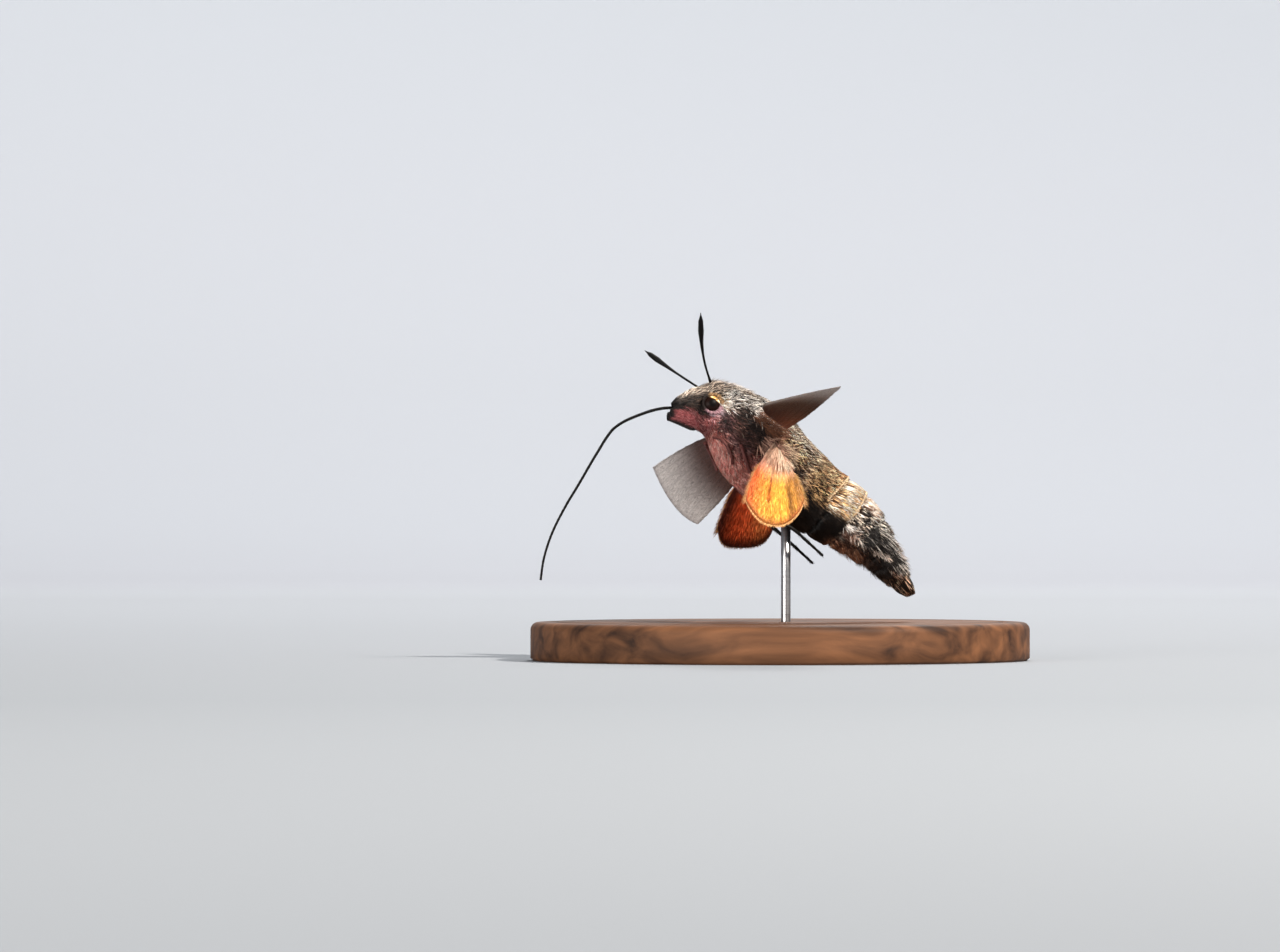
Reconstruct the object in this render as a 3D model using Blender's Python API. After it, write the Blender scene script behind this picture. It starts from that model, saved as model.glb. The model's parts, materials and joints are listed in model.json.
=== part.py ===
"""A hummingbird hawk moth, life size, hovering on a plain display stand.

Frame: metres, +Z up, the moth's nose towards -X and its left side towards -Y.
The origin is the middle of the stand's underside.
"""

import math

import bmesh
import bpy
import numpy as np

MM = 0.001
GAP = 0.3 * MM

# Driving dimensions of the body, nose to tail tip, in millimetres: place along the
# moth, height above the table, half the body's depth and half its width.
BODY_STATIONS = np.array([
    (-11.30, 26.62, 0.34, 0.45),
    (-10.40, 26.74, 0.86, 1.00),
    (-9.10, 26.75, 1.70, 1.80),
    (-7.92, 26.40, 2.60, 2.25),
    (-6.72, 26.03, 3.00, 2.60),
    (-5.31, 25.20, 3.54, 3.40),
    (-3.65, 23.70, 4.33, 4.20),
    (-2.29, 22.20, 4.65, 4.50),
    (-0.73, 20.60, 4.45, 4.35),
    (1.09, 19.10, 4.12, 3.90),
    (3.70, 16.86, 3.76, 3.75),
    (6.04, 15.35, 3.55, 3.75),
    (8.02, 13.75, 3.00, 3.55),
    (9.58, 12.10, 2.40, 3.25),
    (10.75, 10.75, 1.80, 2.95),
    (11.60, 9.50, 1.35, 2.85),
    (12.45, 8.30, 0.95, 2.80),
    (13.20, 7.35, 0.60, 2.30),
    (13.70, 6.75, 0.24, 1.45),
])
BODY_YAW = 0.17
BODY_MIDDLE_X = 1.5 * MM
ROLL_HEAD = math.radians(15.0)
ROLL_TAIL = math.radians(7.5)
BODY_SIDES = 24

# Where the body is parted, as places in the list of stations.
BODY_NODES = {
    "head": (0.0, 4.3, 8),
    "thorax": (4.3, 9.0, 9),
    "abdomen_front": (9.0, 11.4, 5),
    "abdomen_mid": (11.4, 13.4, 5),
    "abdomen_rear": (13.4, 15.3, 4),
}

# The abdomen's rings: each swells towards its rear edge, then steps back.
SEGMENT_EDGES = (9.0, 10.4, 11.4, 12.4, 13.4, 14.35, 15.3)
SEGMENT_STEP = 0.16 * MM
SEGMENT_BREAK = 0.04

# The tail brush has a short core, and two tiers of flat locks out to its tips.
TAIL_CORE = (15.3, 16.6)
TAIL_CORE_INSET = 0.45 * MM
TAIL_CORE_INSET_AT_START = 0.3
TAIL_TIERS = {
    "upper": {"angles": (12.0, 168.0), "count": 7, "root": 15.55},
    "lower": {"angles": (-168.0, -12.0), "count": 6, "root": 15.65},
}
TAIL_TIP_STATION = 18.0
TAIL_TIP_LIFT = -0.1 * MM
TAIL_LOCK_WIDTH = 0.62 * MM
TAIL_SIDE_SHORTER = 0.45
TAIL_EVERY_OTHER_SHORTER = 0.18

# Tufts stand out from the abdomen's sides: station and angle of each root.
SIDE_TUFTS = {
    "abdomen_mid": ((11.75, -14.0), (12.65, 6.0)),
    "abdomen_rear": ((13.65, -16.0), (14.15, 8.0)),
}
TUFT_SPREAD = math.radians(15.0)
TUFT_LOCKS = ((-1, 1.5, 0.70), (0, 1.8, 1.05), (1, 1.4, 0.80))
TUFT_LOCK_WIDTH = 0.50 * MM
LOCK_HALF_THICKNESS = 0.27 * MM
LOCK_SINK = 0.70 * MM
LOCK_TIP_SCALE = 0.16
LOCK_TIP_THICKNESS = 0.35
LOCK_BEND = 1.3
LOCK_RINGS = 5

EYE_RADIUS = 1.06 * MM
EYE_SINK = 0.72 * MM
EYE_STATION = 3.3
EYE_ANGLE = math.radians(-2.0)
EYE_SEGMENTS = 20
EYE_RINGS = 12

# Each palp in millimetres: place along the moth, height, half depth, half width.
PALP_STATIONS = np.array([
    (-8.35, 24.72, 0.45, 0.40),
    (-9.00, 24.95, 0.80, 0.62),
    (-9.90, 25.33, 0.82, 0.66),
    (-10.85, 25.58, 0.66, 0.54),
    (-11.58, 25.60, 0.40, 0.32),
])
PALP_ASIDE = 0.84 * MM
PALP_SIDES = 12
PALP_RINGS = 9

# The proboscis, in millimetres, from the mouth to its tip.
PROBOSCIS_PATH = np.array([
    (-11.40, -2.05, 26.30),
    (-13.05, -2.25, 26.08),
    (-14.90, -2.55, 25.46),
    (-16.35, -2.82, 24.80),
    (-17.42, -2.98, 24.02),
    (-18.22, -3.10, 22.95),
    (-18.95, -3.18, 21.75),
    (-19.70, -3.25, 20.50),
    (-21.00, -3.35, 18.25),
    (-22.35, -3.40, 16.00),
    (-23.70, -3.40, 13.30),
    (-24.55, -3.35, 10.70),
    (-24.90, -3.25, 8.40),
])
PROBOSCIS_RADIUS = 0.26 * MM
PROBOSCIS_SWELL_AT_ROOT = 0.02 * MM
TUBE_STEPS = 3

ANTENNA_LENGTH = 9.2 * MM
ANTENNA_STEM_RADIUS = 0.25 * MM
ANTENNA_CLUB_RADIUS = 0.34 * MM
ANTENNA_CLUB_PLACE = 0.82
ANTENNA_CLUB_SPREAD = 0.26
ANTENNA_TIP_RADIUS = 0.12 * MM
ANTENNA_POINTS = 13
ANTENNA_CLEARANCE = 0.18 * MM
ANTENNA_STATION = {"left": 2.85, "right": 2.6}
ANTENNA_ROOT_ANGLE = {"left": math.radians(70.0), "right": math.radians(122.0)}
ANTENNA_POINTING = {"left": (-0.115, -0.62, 0.775), "right": (-0.66, 0.62, 0.46)}
ANTENNA_BOW = {"left": (-0.16, 0.0, -0.20), "right": (0.0, 0.0, -0.05)}

WING_HALF_THICKNESS = 0.25 * MM
VEIN_HEIGHT = 0.12 * MM
WING_ROOT_CLEARANCE = 0.45 * MM

FOREWING_LENGTH = 20.5 * MM
FOREWING_APEX_DROP = 1.0 * MM
FOREWING_TORNUS = (13.2 * MM, 8.4 * MM)
FOREWING_TERMEN_BULGE = (18.4 * MM, 6.6 * MM)
FOREWING_ROOT_STATIONS = (5.80, 7.05)
FOREWING_INNER_BULGE = 1.1 * MM
FOREWING_ROOT_ANGLE = {"left": math.radians(20.0), "right": math.radians(160.0)}
FOREWING_SPAN_POINTING = {"left": (-0.035, -0.998, 0.03), "right": (-0.445, 0.88, -0.163)}
FOREWING_CHORD_POINTING = {"left": (0.95, 0.01, 0.25), "right": (0.20, -0.07, -0.977)}
FOREWING_CAMBER = 0.025
FOREWING_EDGE_CAMBER = 0.4
FOREWING_LEADING_BOW = 0.8
FOREWING_BULGE_POWER = 0.7
VEIN_SPACING = 3
FOREWING_ROWS = 10
FOREWING_COLUMNS = 12

HINDWING_LENGTH = 10.9 * MM
HINDWING_CORNER_REACH = (7.6 * MM, 6.8 * MM)
HINDWING_HALF_WIDTH = 2.95 * MM
HINDWING_CORNER_SQUARENESS = 0.85
HINDWING_ROOT_STATIONS = {"left": (7.12, 7.92), "right": (7.55, 8.35)}
HINDWING_ROOT_ANGLE = {"left": math.radians(-6.0), "right": math.radians(186.0)}
HINDWING_SPAN_POINTING = {"left": (-0.05, -0.73, -0.68), "right": (-0.12, 0.66, -0.75)}
HINDWING_CHORD_POINTING = {"left": (0.99, 0.10, -0.07), "right": (0.98, 0.20, 0.03)}
HINDWING_PLEAT = 0.28 * MM
HINDWING_SWELL = 0.7 * MM
HINDWING_ROWS = 8
HINDWING_COLUMNS = 12

LEG_RADIUS = 0.28 * MM
LEG_TIP_RADIUS = 0.19 * MM
LEG_STEPS = 4
LEG_SIDES_LIFT = 0.56 * MM
# Folded fore and middle legs lie on the breast: station and angle of each joint.
FOLDED_LEGS = {
    "foreleg_left": ((4.55, -62.0), (5.20, -52.0), (5.90, -52.0), (6.60, -60.0)),
    "foreleg_right": ((4.55, 242.0), (5.20, 232.0), (5.90, 232.0), (6.60, 240.0)),
    "midleg_left": ((6.00, -34.0), (6.70, -40.0), (7.50, -49.0), (8.30, -62.0)),
    "midleg_right": ((6.00, 214.0), (6.70, 220.0), (7.50, 229.0), (8.30, 242.0)),
}
# Hind legs trail behind, in millimetres.
HIND_LEGS = {
    "hindleg_left": ((-2.35, -2.35, 16.45), (-1.20, -3.10, 15.00), (1.09, -2.60, 13.85),
                     (2.80, -2.10, 12.40), (4.48, -1.70, 10.88)),
    "hindleg_right": ((-2.95, 1.15, 16.45), (-2.10, 2.30, 15.00), (-0.42, 2.20, 13.60),
                      (1.60, 1.90, 11.80), (3.48, 1.60, 10.05)),
}

BASE_RADIUS = 26.0 * MM
BASE_HEIGHT = 4.0 * MM
BASE_ROUNDING = 0.8 * MM
ROD_RADIUS = 0.5 * MM
ROD_SIDES = 16
ROD_X = 0.6 * MM
ROD_Y = -0.3 * MM
ROD_CLEARANCE = 0.45 * MM
BELLY_STATIONS = (7.0, 11.0)
BELLY_ANGLES = (-120.0, -60.0)

SIDES = ("left", "right")


def clear_scene():
    """Remove what is there, so that the script gives the same result each run."""
    for thing in list(bpy.data.objects):
        bpy.data.objects.remove(thing, do_unlink=True)
    for collection in list(bpy.data.collections):
        bpy.data.collections.remove(collection)


def make_material(name, colour, roughness, metallic=0.0):
    """Return a Principled material of one colour."""
    material = bpy.data.materials.new(name)
    material.use_nodes = True
    shader = material.node_tree.nodes["Principled BSDF"]
    shader.inputs["Base Color"].default_value = (*colour, 1.0)
    shader.inputs["Roughness"].default_value = roughness
    shader.inputs["Metallic"].default_value = metallic
    return material


def add_object(name, mesh, material, collection):
    """Put a mesh into the scene under its own name and finish."""
    thing = bpy.data.objects.new(name, mesh)
    thing.data.name = name
    thing.data.materials.append(material)
    collection.objects.link(thing)
    return thing


def mesh_from(points, faces):
    """Return a mesh with its faces turned outwards."""
    mesh = bpy.data.meshes.new("solid")
    mesh.from_pydata([tuple(point) for point in points], [], faces)
    build = bmesh.new()
    build.from_mesh(mesh)
    bmesh.ops.recalc_face_normals(build, faces=build.faces)
    build.to_mesh(mesh)
    build.free()
    return mesh


def unit(vector):
    """Return the vector at length one."""
    vector = np.asarray(vector, dtype=float)
    return vector / np.linalg.norm(vector, axis=-1, keepdims=True)


def smooth_between(rows, place):
    """Read a table between its rows along a Catmull-Rom curve."""
    rows = np.asarray(rows, dtype=float)
    place = np.atleast_1d(np.asarray(place, dtype=float))
    first = np.clip(np.floor(place).astype(int), 0, len(rows) - 2)
    part = (place - first)[:, None]
    before = rows[np.maximum(first - 1, 0)]
    start = rows[first]
    end = rows[first + 1]
    after = rows[np.minimum(first + 2, len(rows) - 1)]
    return 0.5 * (2 * start + (end - before) * part
                  + (2 * before - 5 * start + 4 * end - after) * part ** 2
                  + (3 * start - before - 3 * end + after) * part ** 3)


def body_line(place):
    """Return the body's centre line, half depth and half width at some stations."""
    row = smooth_between(BODY_STATIONS, place) * MM
    across = BODY_YAW * (row[:, 0] - BODY_MIDDLE_X)
    centre = np.stack([row[:, 0], across, row[:, 1]], axis=1)
    return centre, row[:, 2], row[:, 3]


def body_axes(place):
    """Return the directions to the moth's left and to its back at some stations."""
    place = np.atleast_1d(np.asarray(place, dtype=float))
    step = 0.05
    last = len(BODY_STATIONS) - 1
    ahead = body_line(np.clip(place - step, 0, last))[0]
    behind = body_line(np.clip(place + step, 0, last))[0]
    forward = unit(ahead - behind)
    level = unit(np.cross((0.0, 0.0, 1.0), forward))
    upright = np.cross(forward, level)
    roll = (ROLL_HEAD + (ROLL_TAIL - ROLL_HEAD) * place / last)[:, None]
    left = level * np.cos(roll) + upright * np.sin(roll)
    back = np.cross(forward, left)
    return left, back


def body_surface(place, angle, lift=0.0):
    """Return points on the body: angle 0 is its left side and 90 degrees its back."""
    centre, depth, width = body_line(place)
    left, back = body_axes(place)
    angle = np.atleast_1d(np.asarray(angle, dtype=float))
    aside = ((width + lift) * np.cos(angle))[:, None]
    above = ((depth + lift) * np.sin(angle))[:, None]
    return centre + left * aside + back * above


def loft(rings):
    """Close a stack of rings into one solid with a flat cap at each end."""
    count, sides = rings.shape[:2]
    points = [tuple(point) for point in rings.reshape(-1, 3)]
    points += [tuple(rings[0].mean(axis=0)), tuple(rings[-1].mean(axis=0))]
    first_cap = count * sides
    faces = []
    for ring in range(count - 1):
        for side in range(sides):
            here = ring * sides + side
            beside = ring * sides + (side + 1) % sides
            faces.append((here, beside, beside + sides))
            faces.append((here, beside + sides, here + sides))
    for side in range(sides):
        beside = (side + 1) % sides
        last = (count - 1) * sides
        faces.append((first_cap, beside, side))
        faces.append((first_cap + 1, last + side, last + beside))
    return mesh_from(points, faces)


def station_after(place, distance):
    """Return the station that lies a distance further along the body."""
    step = 0.01
    here = body_line(place)[0][0]
    there = body_line(place + step)[0][0]
    return place + distance * step / np.linalg.norm(there - here)


def segment_lift(place):
    """Return how far the abdomen's rings stand proud at a station."""
    for front, rear in zip(SEGMENT_EDGES, SEGMENT_EDGES[1:]):
        if front < place <= rear:
            return SEGMENT_STEP * (place - front) / (rear - front)
    return 0.0


def body_length(first, last, rings):
    """Return one length of the body, short of its neighbours by half the gap."""
    start = first if first == 0 else station_after(first, GAP / 2)
    end = station_after(last, -GAP / 2)
    places = list(np.linspace(start, end, rings))
    for edge in SEGMENT_EDGES:
        if start + 0.1 < edge < end - 0.1:
            places += [edge, edge + SEGMENT_BREAK]
    angles = np.linspace(0.0, 2 * math.pi, BODY_SIDES, endpoint=False)
    stack = [body_surface(np.full(BODY_SIDES, place), angles, segment_lift(place))
             for place in sorted(places)]
    return loft(np.array(stack))


def tail_core():
    """Return the tail brush's core, which draws in as it runs back."""
    start = station_after(TAIL_CORE[0], GAP / 2)
    angles = np.linspace(0.0, 2 * math.pi, BODY_SIDES, endpoint=False)
    stack = [body_surface(np.full(BODY_SIDES, place), angles,
                          -TAIL_CORE_INSET * (TAIL_CORE_INSET_AT_START
                                              + (1 - TAIL_CORE_INSET_AT_START) * part))
             for part, place in zip(np.linspace(0, 1, 4), np.linspace(start, TAIL_CORE[1], 4))]
    return loft(np.array(stack))


def lock_mesh(places, angles, rise, half_width):
    """Return a flat tapered lock that leaves the body's surface and lies back along it."""
    part = np.linspace(0.0, 1.0, LOCK_RINGS)
    place = places[0] + (places[1] - places[0]) * part
    angle = angles[0] + (angles[1] - angles[0]) * part
    lift = -LOCK_SINK * (1 - part) ** 2 + rise * part ** LOCK_BEND
    path = np.array([body_surface(*spot)[0] for spot in zip(place, angle, lift)])
    outward = unit(path - body_line(place)[0])
    along = unit(np.gradient(path, axis=0))
    aside = unit(np.cross(along, outward))
    outward = np.cross(aside, along)
    taper = LOCK_TIP_SCALE + (1 - LOCK_TIP_SCALE) * (1 - part ** 2)
    half_width = half_width * taper
    half_depth = LOCK_HALF_THICKNESS * (1 - (1 - LOCK_TIP_THICKNESS) * part ** 3)
    rings = np.stack([path + aside * half_width[:, None], path + outward * half_depth[:, None],
                      path - aside * half_width[:, None], path - outward * half_depth[:, None]],
                     axis=1)
    return loft(rings)


def tail_locks():
    """Return the tail brush's locks: each tier is a fan, longest in its middle."""
    locks = []
    for tier in TAIL_TIERS.values():
        angles = np.radians(np.linspace(*tier["angles"], tier["count"]))
        for number, angle in enumerate(angles):
            shorter = TAIL_SIDE_SHORTER * abs(math.cos(angle))
            shorter += TAIL_EVERY_OTHER_SHORTER * (number % 2)
            places = (tier["root"], TAIL_TIP_STATION - shorter)
            locks.append(lock_mesh(places, (angle, angle), TAIL_TIP_LIFT, TAIL_LOCK_WIDTH))
    return locks


def side_tufts(name):
    """Return the locks of the tufts on both sides of one length of the abdomen."""
    locks = []
    for station, root_angle in SIDE_TUFTS[name]:
        for side in SIDES:
            for step, length, rise in TUFT_LOCKS:
                angle = math.radians(root_angle) + step * TUFT_SPREAD
                if side == "right":
                    angle = math.pi - angle
                locks.append(lock_mesh((station, station + length), (angle, angle),
                                       rise * MM, TUFT_LOCK_WIDTH))
    return locks


def palp_mesh(side, lift=0.0):
    """Return one palp, a tapered beak beside the middle of the face."""
    sign = 1.0 if side == "left" else -1.0
    left = body_axes(2.0)[0][0]
    places = np.linspace(0, len(PALP_STATIONS) - 1, PALP_RINGS)
    rows = smooth_between(PALP_STATIONS, places) * MM
    angles = np.linspace(0.0, 2 * math.pi, PALP_SIDES, endpoint=False)
    stack = []
    for x, z, depth, width in rows:
        centre = np.array((x, BODY_YAW * (x - BODY_MIDDLE_X), z)) + sign * PALP_ASIDE * left
        aside = (width + lift) * np.cos(angles)[:, None] * left
        above = (depth + lift) * np.sin(angles)[:, None] * np.array((0.0, 0.0, 1.0))
        stack.append(centre + aside + above)
    return loft(np.array(stack))


def ball_mesh(centre, radius):
    """Return a round ball."""
    build = bmesh.new()
    bmesh.ops.create_uvsphere(build, u_segments=EYE_SEGMENTS, v_segments=EYE_RINGS,
                              radius=radius)
    bmesh.ops.translate(build, verts=build.verts, vec=tuple(centre))
    mesh = bpy.data.meshes.new("ball")
    build.to_mesh(mesh)
    build.free()
    return mesh


def tube_mesh(points, radii):
    """Return a round tube along points, of its own radius at each of them."""
    curve = bpy.data.curves.new("tube", "CURVE")
    curve.dimensions = "3D"
    curve.bevel_depth = 1.0
    curve.bevel_resolution = 2
    curve.use_fill_caps = True
    spline = curve.splines.new("POLY")
    spline.points.add(len(points) - 1)
    for knot, point, radius in zip(spline.points, points, radii):
        knot.co = (*point, 1.0)
        knot.radius = radius
    guide = bpy.data.objects.new("tube", curve)
    bpy.context.scene.collection.objects.link(guide)
    bpy.context.view_layer.update()
    mesh = bpy.data.meshes.new_from_object(guide.evaluated_get(
        bpy.context.evaluated_depsgraph_get()))
    bpy.data.objects.remove(guide, do_unlink=True)
    build = bmesh.new()
    build.from_mesh(mesh)
    bmesh.ops.remove_doubles(build, verts=build.verts, dist=1e-7)
    bmesh.ops.recalc_face_normals(build, faces=build.faces)
    build.to_mesh(mesh)
    build.free()
    return mesh


def keep_largest(mesh):
    """Keep only the largest closed surface of a mesh."""
    build = bmesh.new()
    build.from_mesh(mesh)
    left = set(build.faces)
    shells = []
    while left:
        shell = {left.pop()}
        edge_of_shell = set(shell)
        while edge_of_shell:
            reached = {near for face in edge_of_shell for edge in face.edges
                       for near in edge.link_faces}
            edge_of_shell = reached - shell
            shell |= edge_of_shell
        left -= shell
        shells.append(shell)
    shells.sort(key=lambda shell: sum(face.calc_area() for face in shell))
    scraps = [face for shell in shells[:-1] for face in shell]
    bmesh.ops.delete(build, geom=scraps, context="FACES")
    build.to_mesh(mesh)
    build.free()


def combine(target, meshes, operation):
    """Join meshes to an object, or cut them out of it, in one Boolean."""
    helpers = bpy.data.collections.new("cutters")
    bpy.context.scene.collection.children.link(helpers)
    for mesh in meshes:
        helper = bpy.data.objects.new("cutter", mesh)
        helper.hide_render = True
        helper.display_type = "WIRE"
        helpers.objects.link(helper)
    change = target.modifiers.new("combine", "BOOLEAN")
    change.operand_type = "COLLECTION"
    change.collection = helpers
    change.operation = operation
    change.solver = "EXACT"
    bpy.context.view_layer.update()
    result = bpy.data.meshes.new_from_object(target.evaluated_get(
        bpy.context.evaluated_depsgraph_get()))
    target.modifiers.remove(change)
    name = target.name
    target.data = result
    target.data.name = name
    for helper in list(helpers.objects):
        bpy.data.objects.remove(helper, do_unlink=True)
    bpy.data.collections.remove(helpers)
    keep_largest(target.data)


def vane_mesh(grid, half_thickness):
    """Give a curved sheet its thickness, with triangles alike on both faces."""
    rows, columns = grid.shape[:2]
    along = np.gradient(grid, axis=0)
    across = np.gradient(grid, axis=1)
    normal = unit(np.cross(along, across))
    upper = grid + normal * half_thickness[..., None]
    lower = grid - normal * half_thickness[..., None]
    points = np.concatenate([upper.reshape(-1, 3), lower.reshape(-1, 3)])
    below = rows * columns
    faces = []
    for row in range(rows - 1):
        for column in range(columns - 1):
            here = row * columns + column
            faces.append((here, here + 1, here + columns + 1))
            faces.append((here, here + columns + 1, here + columns))
            faces.append((here + below, here + columns + 1 + below, here + 1 + below))
            faces.append((here + below, here + columns + below, here + columns + 1 + below))
    rim = [row * columns for row in range(rows)]
    rim += [(rows - 1) * columns + column for column in range(1, columns)]
    rim += [row * columns + columns - 1 for row in range(rows - 2, -1, -1)]
    rim += list(range(columns - 2, 0, -1))
    for here, there in zip(rim, rim[1:] + rim[:1]):
        faces.append((here, there, there + below))
        faces.append((here, there + below, here + below))
    return mesh_from(points, faces)


def vein_heights(rows, columns):
    """Return a vane's half thickness: every few columns a vein stands proud."""
    heights = np.full((rows, columns), WING_HALF_THICKNESS)
    heights[:, ::VEIN_SPACING] += VEIN_HEIGHT
    return heights


def wing_frame(span, chord):
    """Return a wing's span, chord and upright directions, square to each other."""
    span = unit(span)
    chord = unit(np.asarray(chord) - np.dot(chord, span) * span)
    return span, chord, np.cross(span, chord)


def wing_roots(stations, angle):
    """Return the front and rear ends of a wing's hinge, just off the thorax."""
    front = body_surface(stations[0], angle, WING_ROOT_CLEARANCE)[0]
    rear = body_surface(stations[1], angle, WING_ROOT_CLEARANCE)[0]
    return front, rear


def quadratic(start, control, end, part):
    """Read a curve that leaves start, is drawn to control, and reaches end."""
    part = np.asarray(part)[:, None]
    start, control, end = (np.asarray(value) for value in (start, control, end))
    return start * (1 - part) ** 2 + 2 * control * part * (1 - part) + end * part ** 2


def forewing_mesh(side):
    """Return a forewing: columns run as veins do, from the hinge to the outer edge."""
    span, chord, upright = wing_frame(FOREWING_SPAN_POINTING[side],
                                      FOREWING_CHORD_POINTING[side])
    front, rear = wing_roots(FOREWING_ROOT_STATIONS, FOREWING_ROOT_ANGLE[side])
    across = np.linspace(0.0, 1.0, FOREWING_COLUMNS + 1)
    margin = quadratic((FOREWING_LENGTH, FOREWING_APEX_DROP), FOREWING_TERMEN_BULGE,
                       FOREWING_TORNUS, across)
    outer = front + margin[:, :1] * span + margin[:, 1:] * chord
    inner = front + (rear - front) * across[:, None]
    along = np.linspace(0.0, 1.0, FOREWING_ROWS + 1)[:, None, None]
    grid = inner * (1 - along) + outer * along
    camber = FOREWING_CAMBER * FOREWING_LENGTH * np.sin(math.pi * along)
    bow = np.sin(math.pi * across)[None, :, None]
    grid = grid + upright * camber * (FOREWING_EDGE_CAMBER + (1 - FOREWING_EDGE_CAMBER) * bow)
    grid = grid - chord * FOREWING_LEADING_BOW * camber * (1 - across)[:, None]
    fullness = np.sin(math.pi * along ** FOREWING_BULGE_POWER)
    grid = grid + chord * FOREWING_INNER_BULGE * fullness * across[:, None] ** 2
    return vane_mesh(grid, vein_heights(FOREWING_ROWS + 1, FOREWING_COLUMNS + 1))


def hindwing_mesh(side):
    """Return a hindwing: a short fan with shallow pleats and a rounded edge."""
    span, chord, upright = wing_frame(HINDWING_SPAN_POINTING[side],
                                      HINDWING_CHORD_POINTING[side])
    front, rear = wing_roots(HINDWING_ROOT_STATIONS[side], HINDWING_ROOT_ANGLE[side])
    middle = (front + rear) / 2
    across = np.linspace(0.0, 1.0, HINDWING_COLUMNS + 1)
    turn = math.pi * (across - 0.5)
    lead, trail = HINDWING_CORNER_REACH
    corner_reach = lead + (trail - lead) * across
    reach = corner_reach + (HINDWING_LENGTH - corner_reach) * np.cos(turn)
    squared = np.abs(np.sin(turn)) ** HINDWING_CORNER_SQUARENESS
    breadth = HINDWING_HALF_WIDTH * np.sign(turn) * squared
    outer = middle + reach[:, None] * span + breadth[:, None] * chord
    inner = front + (rear - front) * across[:, None]
    along = np.linspace(0.0, 1.0, HINDWING_ROWS + 1)[:, None, None]
    grid = inner * (1 - along) + outer * along
    swell = HINDWING_SWELL * np.sin(math.pi * along) * (across - 0.5)[:, None]
    pleat = HINDWING_PLEAT * np.sin(3 * math.pi * across)[:, None] * along
    grid = grid + chord * swell + upright * pleat
    return vane_mesh(grid, vein_heights(HINDWING_ROWS + 1, HINDWING_COLUMNS + 1))


def antenna_mesh(side):
    """Return an antenna: a slender stem that swells to a club with a fine tip."""
    root = body_surface(ANTENNA_STATION[side], ANTENNA_ROOT_ANGLE[side], ANTENNA_CLEARANCE)[0]
    pointing = unit(ANTENNA_POINTING[side])
    bow = np.asarray(ANTENNA_BOW[side]) * MM
    along = np.linspace(0.0, 1.0, ANTENNA_POINTS)
    points = (root + pointing * ANTENNA_LENGTH * along[:, None]
              + bow * np.sin(math.pi * along)[:, None] * 2)
    swell = np.exp(-((along - ANTENNA_CLUB_PLACE) / ANTENNA_CLUB_SPREAD) ** 2)
    radii = ANTENNA_STEM_RADIUS + (ANTENNA_CLUB_RADIUS - ANTENNA_STEM_RADIUS) * swell
    radii[-1] = ANTENNA_TIP_RADIUS
    return tube_mesh(points, radii)


def proboscis_mesh(lift=0.0):
    """Return the proboscis: a fine tube with a knee, tapering to its tip."""
    last = len(PROBOSCIS_PATH) - 1
    points = smooth_between(PROBOSCIS_PATH, np.linspace(0, last, TUBE_STEPS * last + 1)) * MM
    root_radius = PROBOSCIS_RADIUS + PROBOSCIS_SWELL_AT_ROOT
    radii = np.linspace(root_radius, PROBOSCIS_RADIUS, len(points)) + lift
    return tube_mesh(points, radii)


def leg_mesh(points):
    """Return a leg through its joints, thinner towards the foot."""
    last = len(points) - 1
    path = smooth_between(points, np.linspace(0, last, LEG_STEPS * last + 1))
    return tube_mesh(path, np.linspace(LEG_RADIUS, LEG_TIP_RADIUS, len(path)))


def folded_leg_points(joints):
    """Return a folded leg's joints, resting just off the breast."""
    return np.array([body_surface(place, math.radians(angle), LEG_SIDES_LIFT)[0]
                     for place, angle in joints])


def rod_mesh():
    """Return the stand's rod, its top cut to the slope of the belly above it."""
    angles = np.linspace(0.0, 2 * math.pi, ROD_SIDES, endpoint=False)
    places = np.linspace(*BELLY_STATIONS, 41)
    belly = np.concatenate([body_surface(places, np.full(len(places), math.radians(angle)))
                            for angle in np.linspace(*BELLY_ANGLES, 25)])
    foot = []
    head = []
    for angle in angles:
        x = ROD_X + ROD_RADIUS * math.cos(angle)
        y = ROD_Y + ROD_RADIUS * math.sin(angle)
        nearest = belly[np.argmin(np.hypot(belly[:, 0] - x, belly[:, 1] - y))]
        foot.append((x, y, BASE_HEIGHT + GAP))
        head.append((x, y, nearest[2] - ROD_CLEARANCE))
    return loft(np.array([foot, head]))


def base_object(material, collection):
    """Add the stand's base: a round disc with its rims rounded."""
    build = bmesh.new()
    bmesh.ops.create_cone(build, cap_ends=True, segments=64, radius1=BASE_RADIUS,
                          radius2=BASE_RADIUS, depth=BASE_HEIGHT)
    bmesh.ops.translate(build, verts=build.verts, vec=(0.0, 0.0, BASE_HEIGHT / 2))
    rims = [edge for edge in build.edges if any(len(face.verts) > 4 for face in edge.link_faces)]
    top_rims = [edge for edge in rims if edge.verts[0].co.z > BASE_HEIGHT / 2]
    bmesh.ops.bevel(build, geom=top_rims, offset=BASE_ROUNDING, segments=2,
                    affect="EDGES", profile=0.5)
    mesh = bpy.data.meshes.new("base")
    build.to_mesh(mesh)
    build.free()
    return add_object("stand_base", mesh, material, collection)


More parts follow.
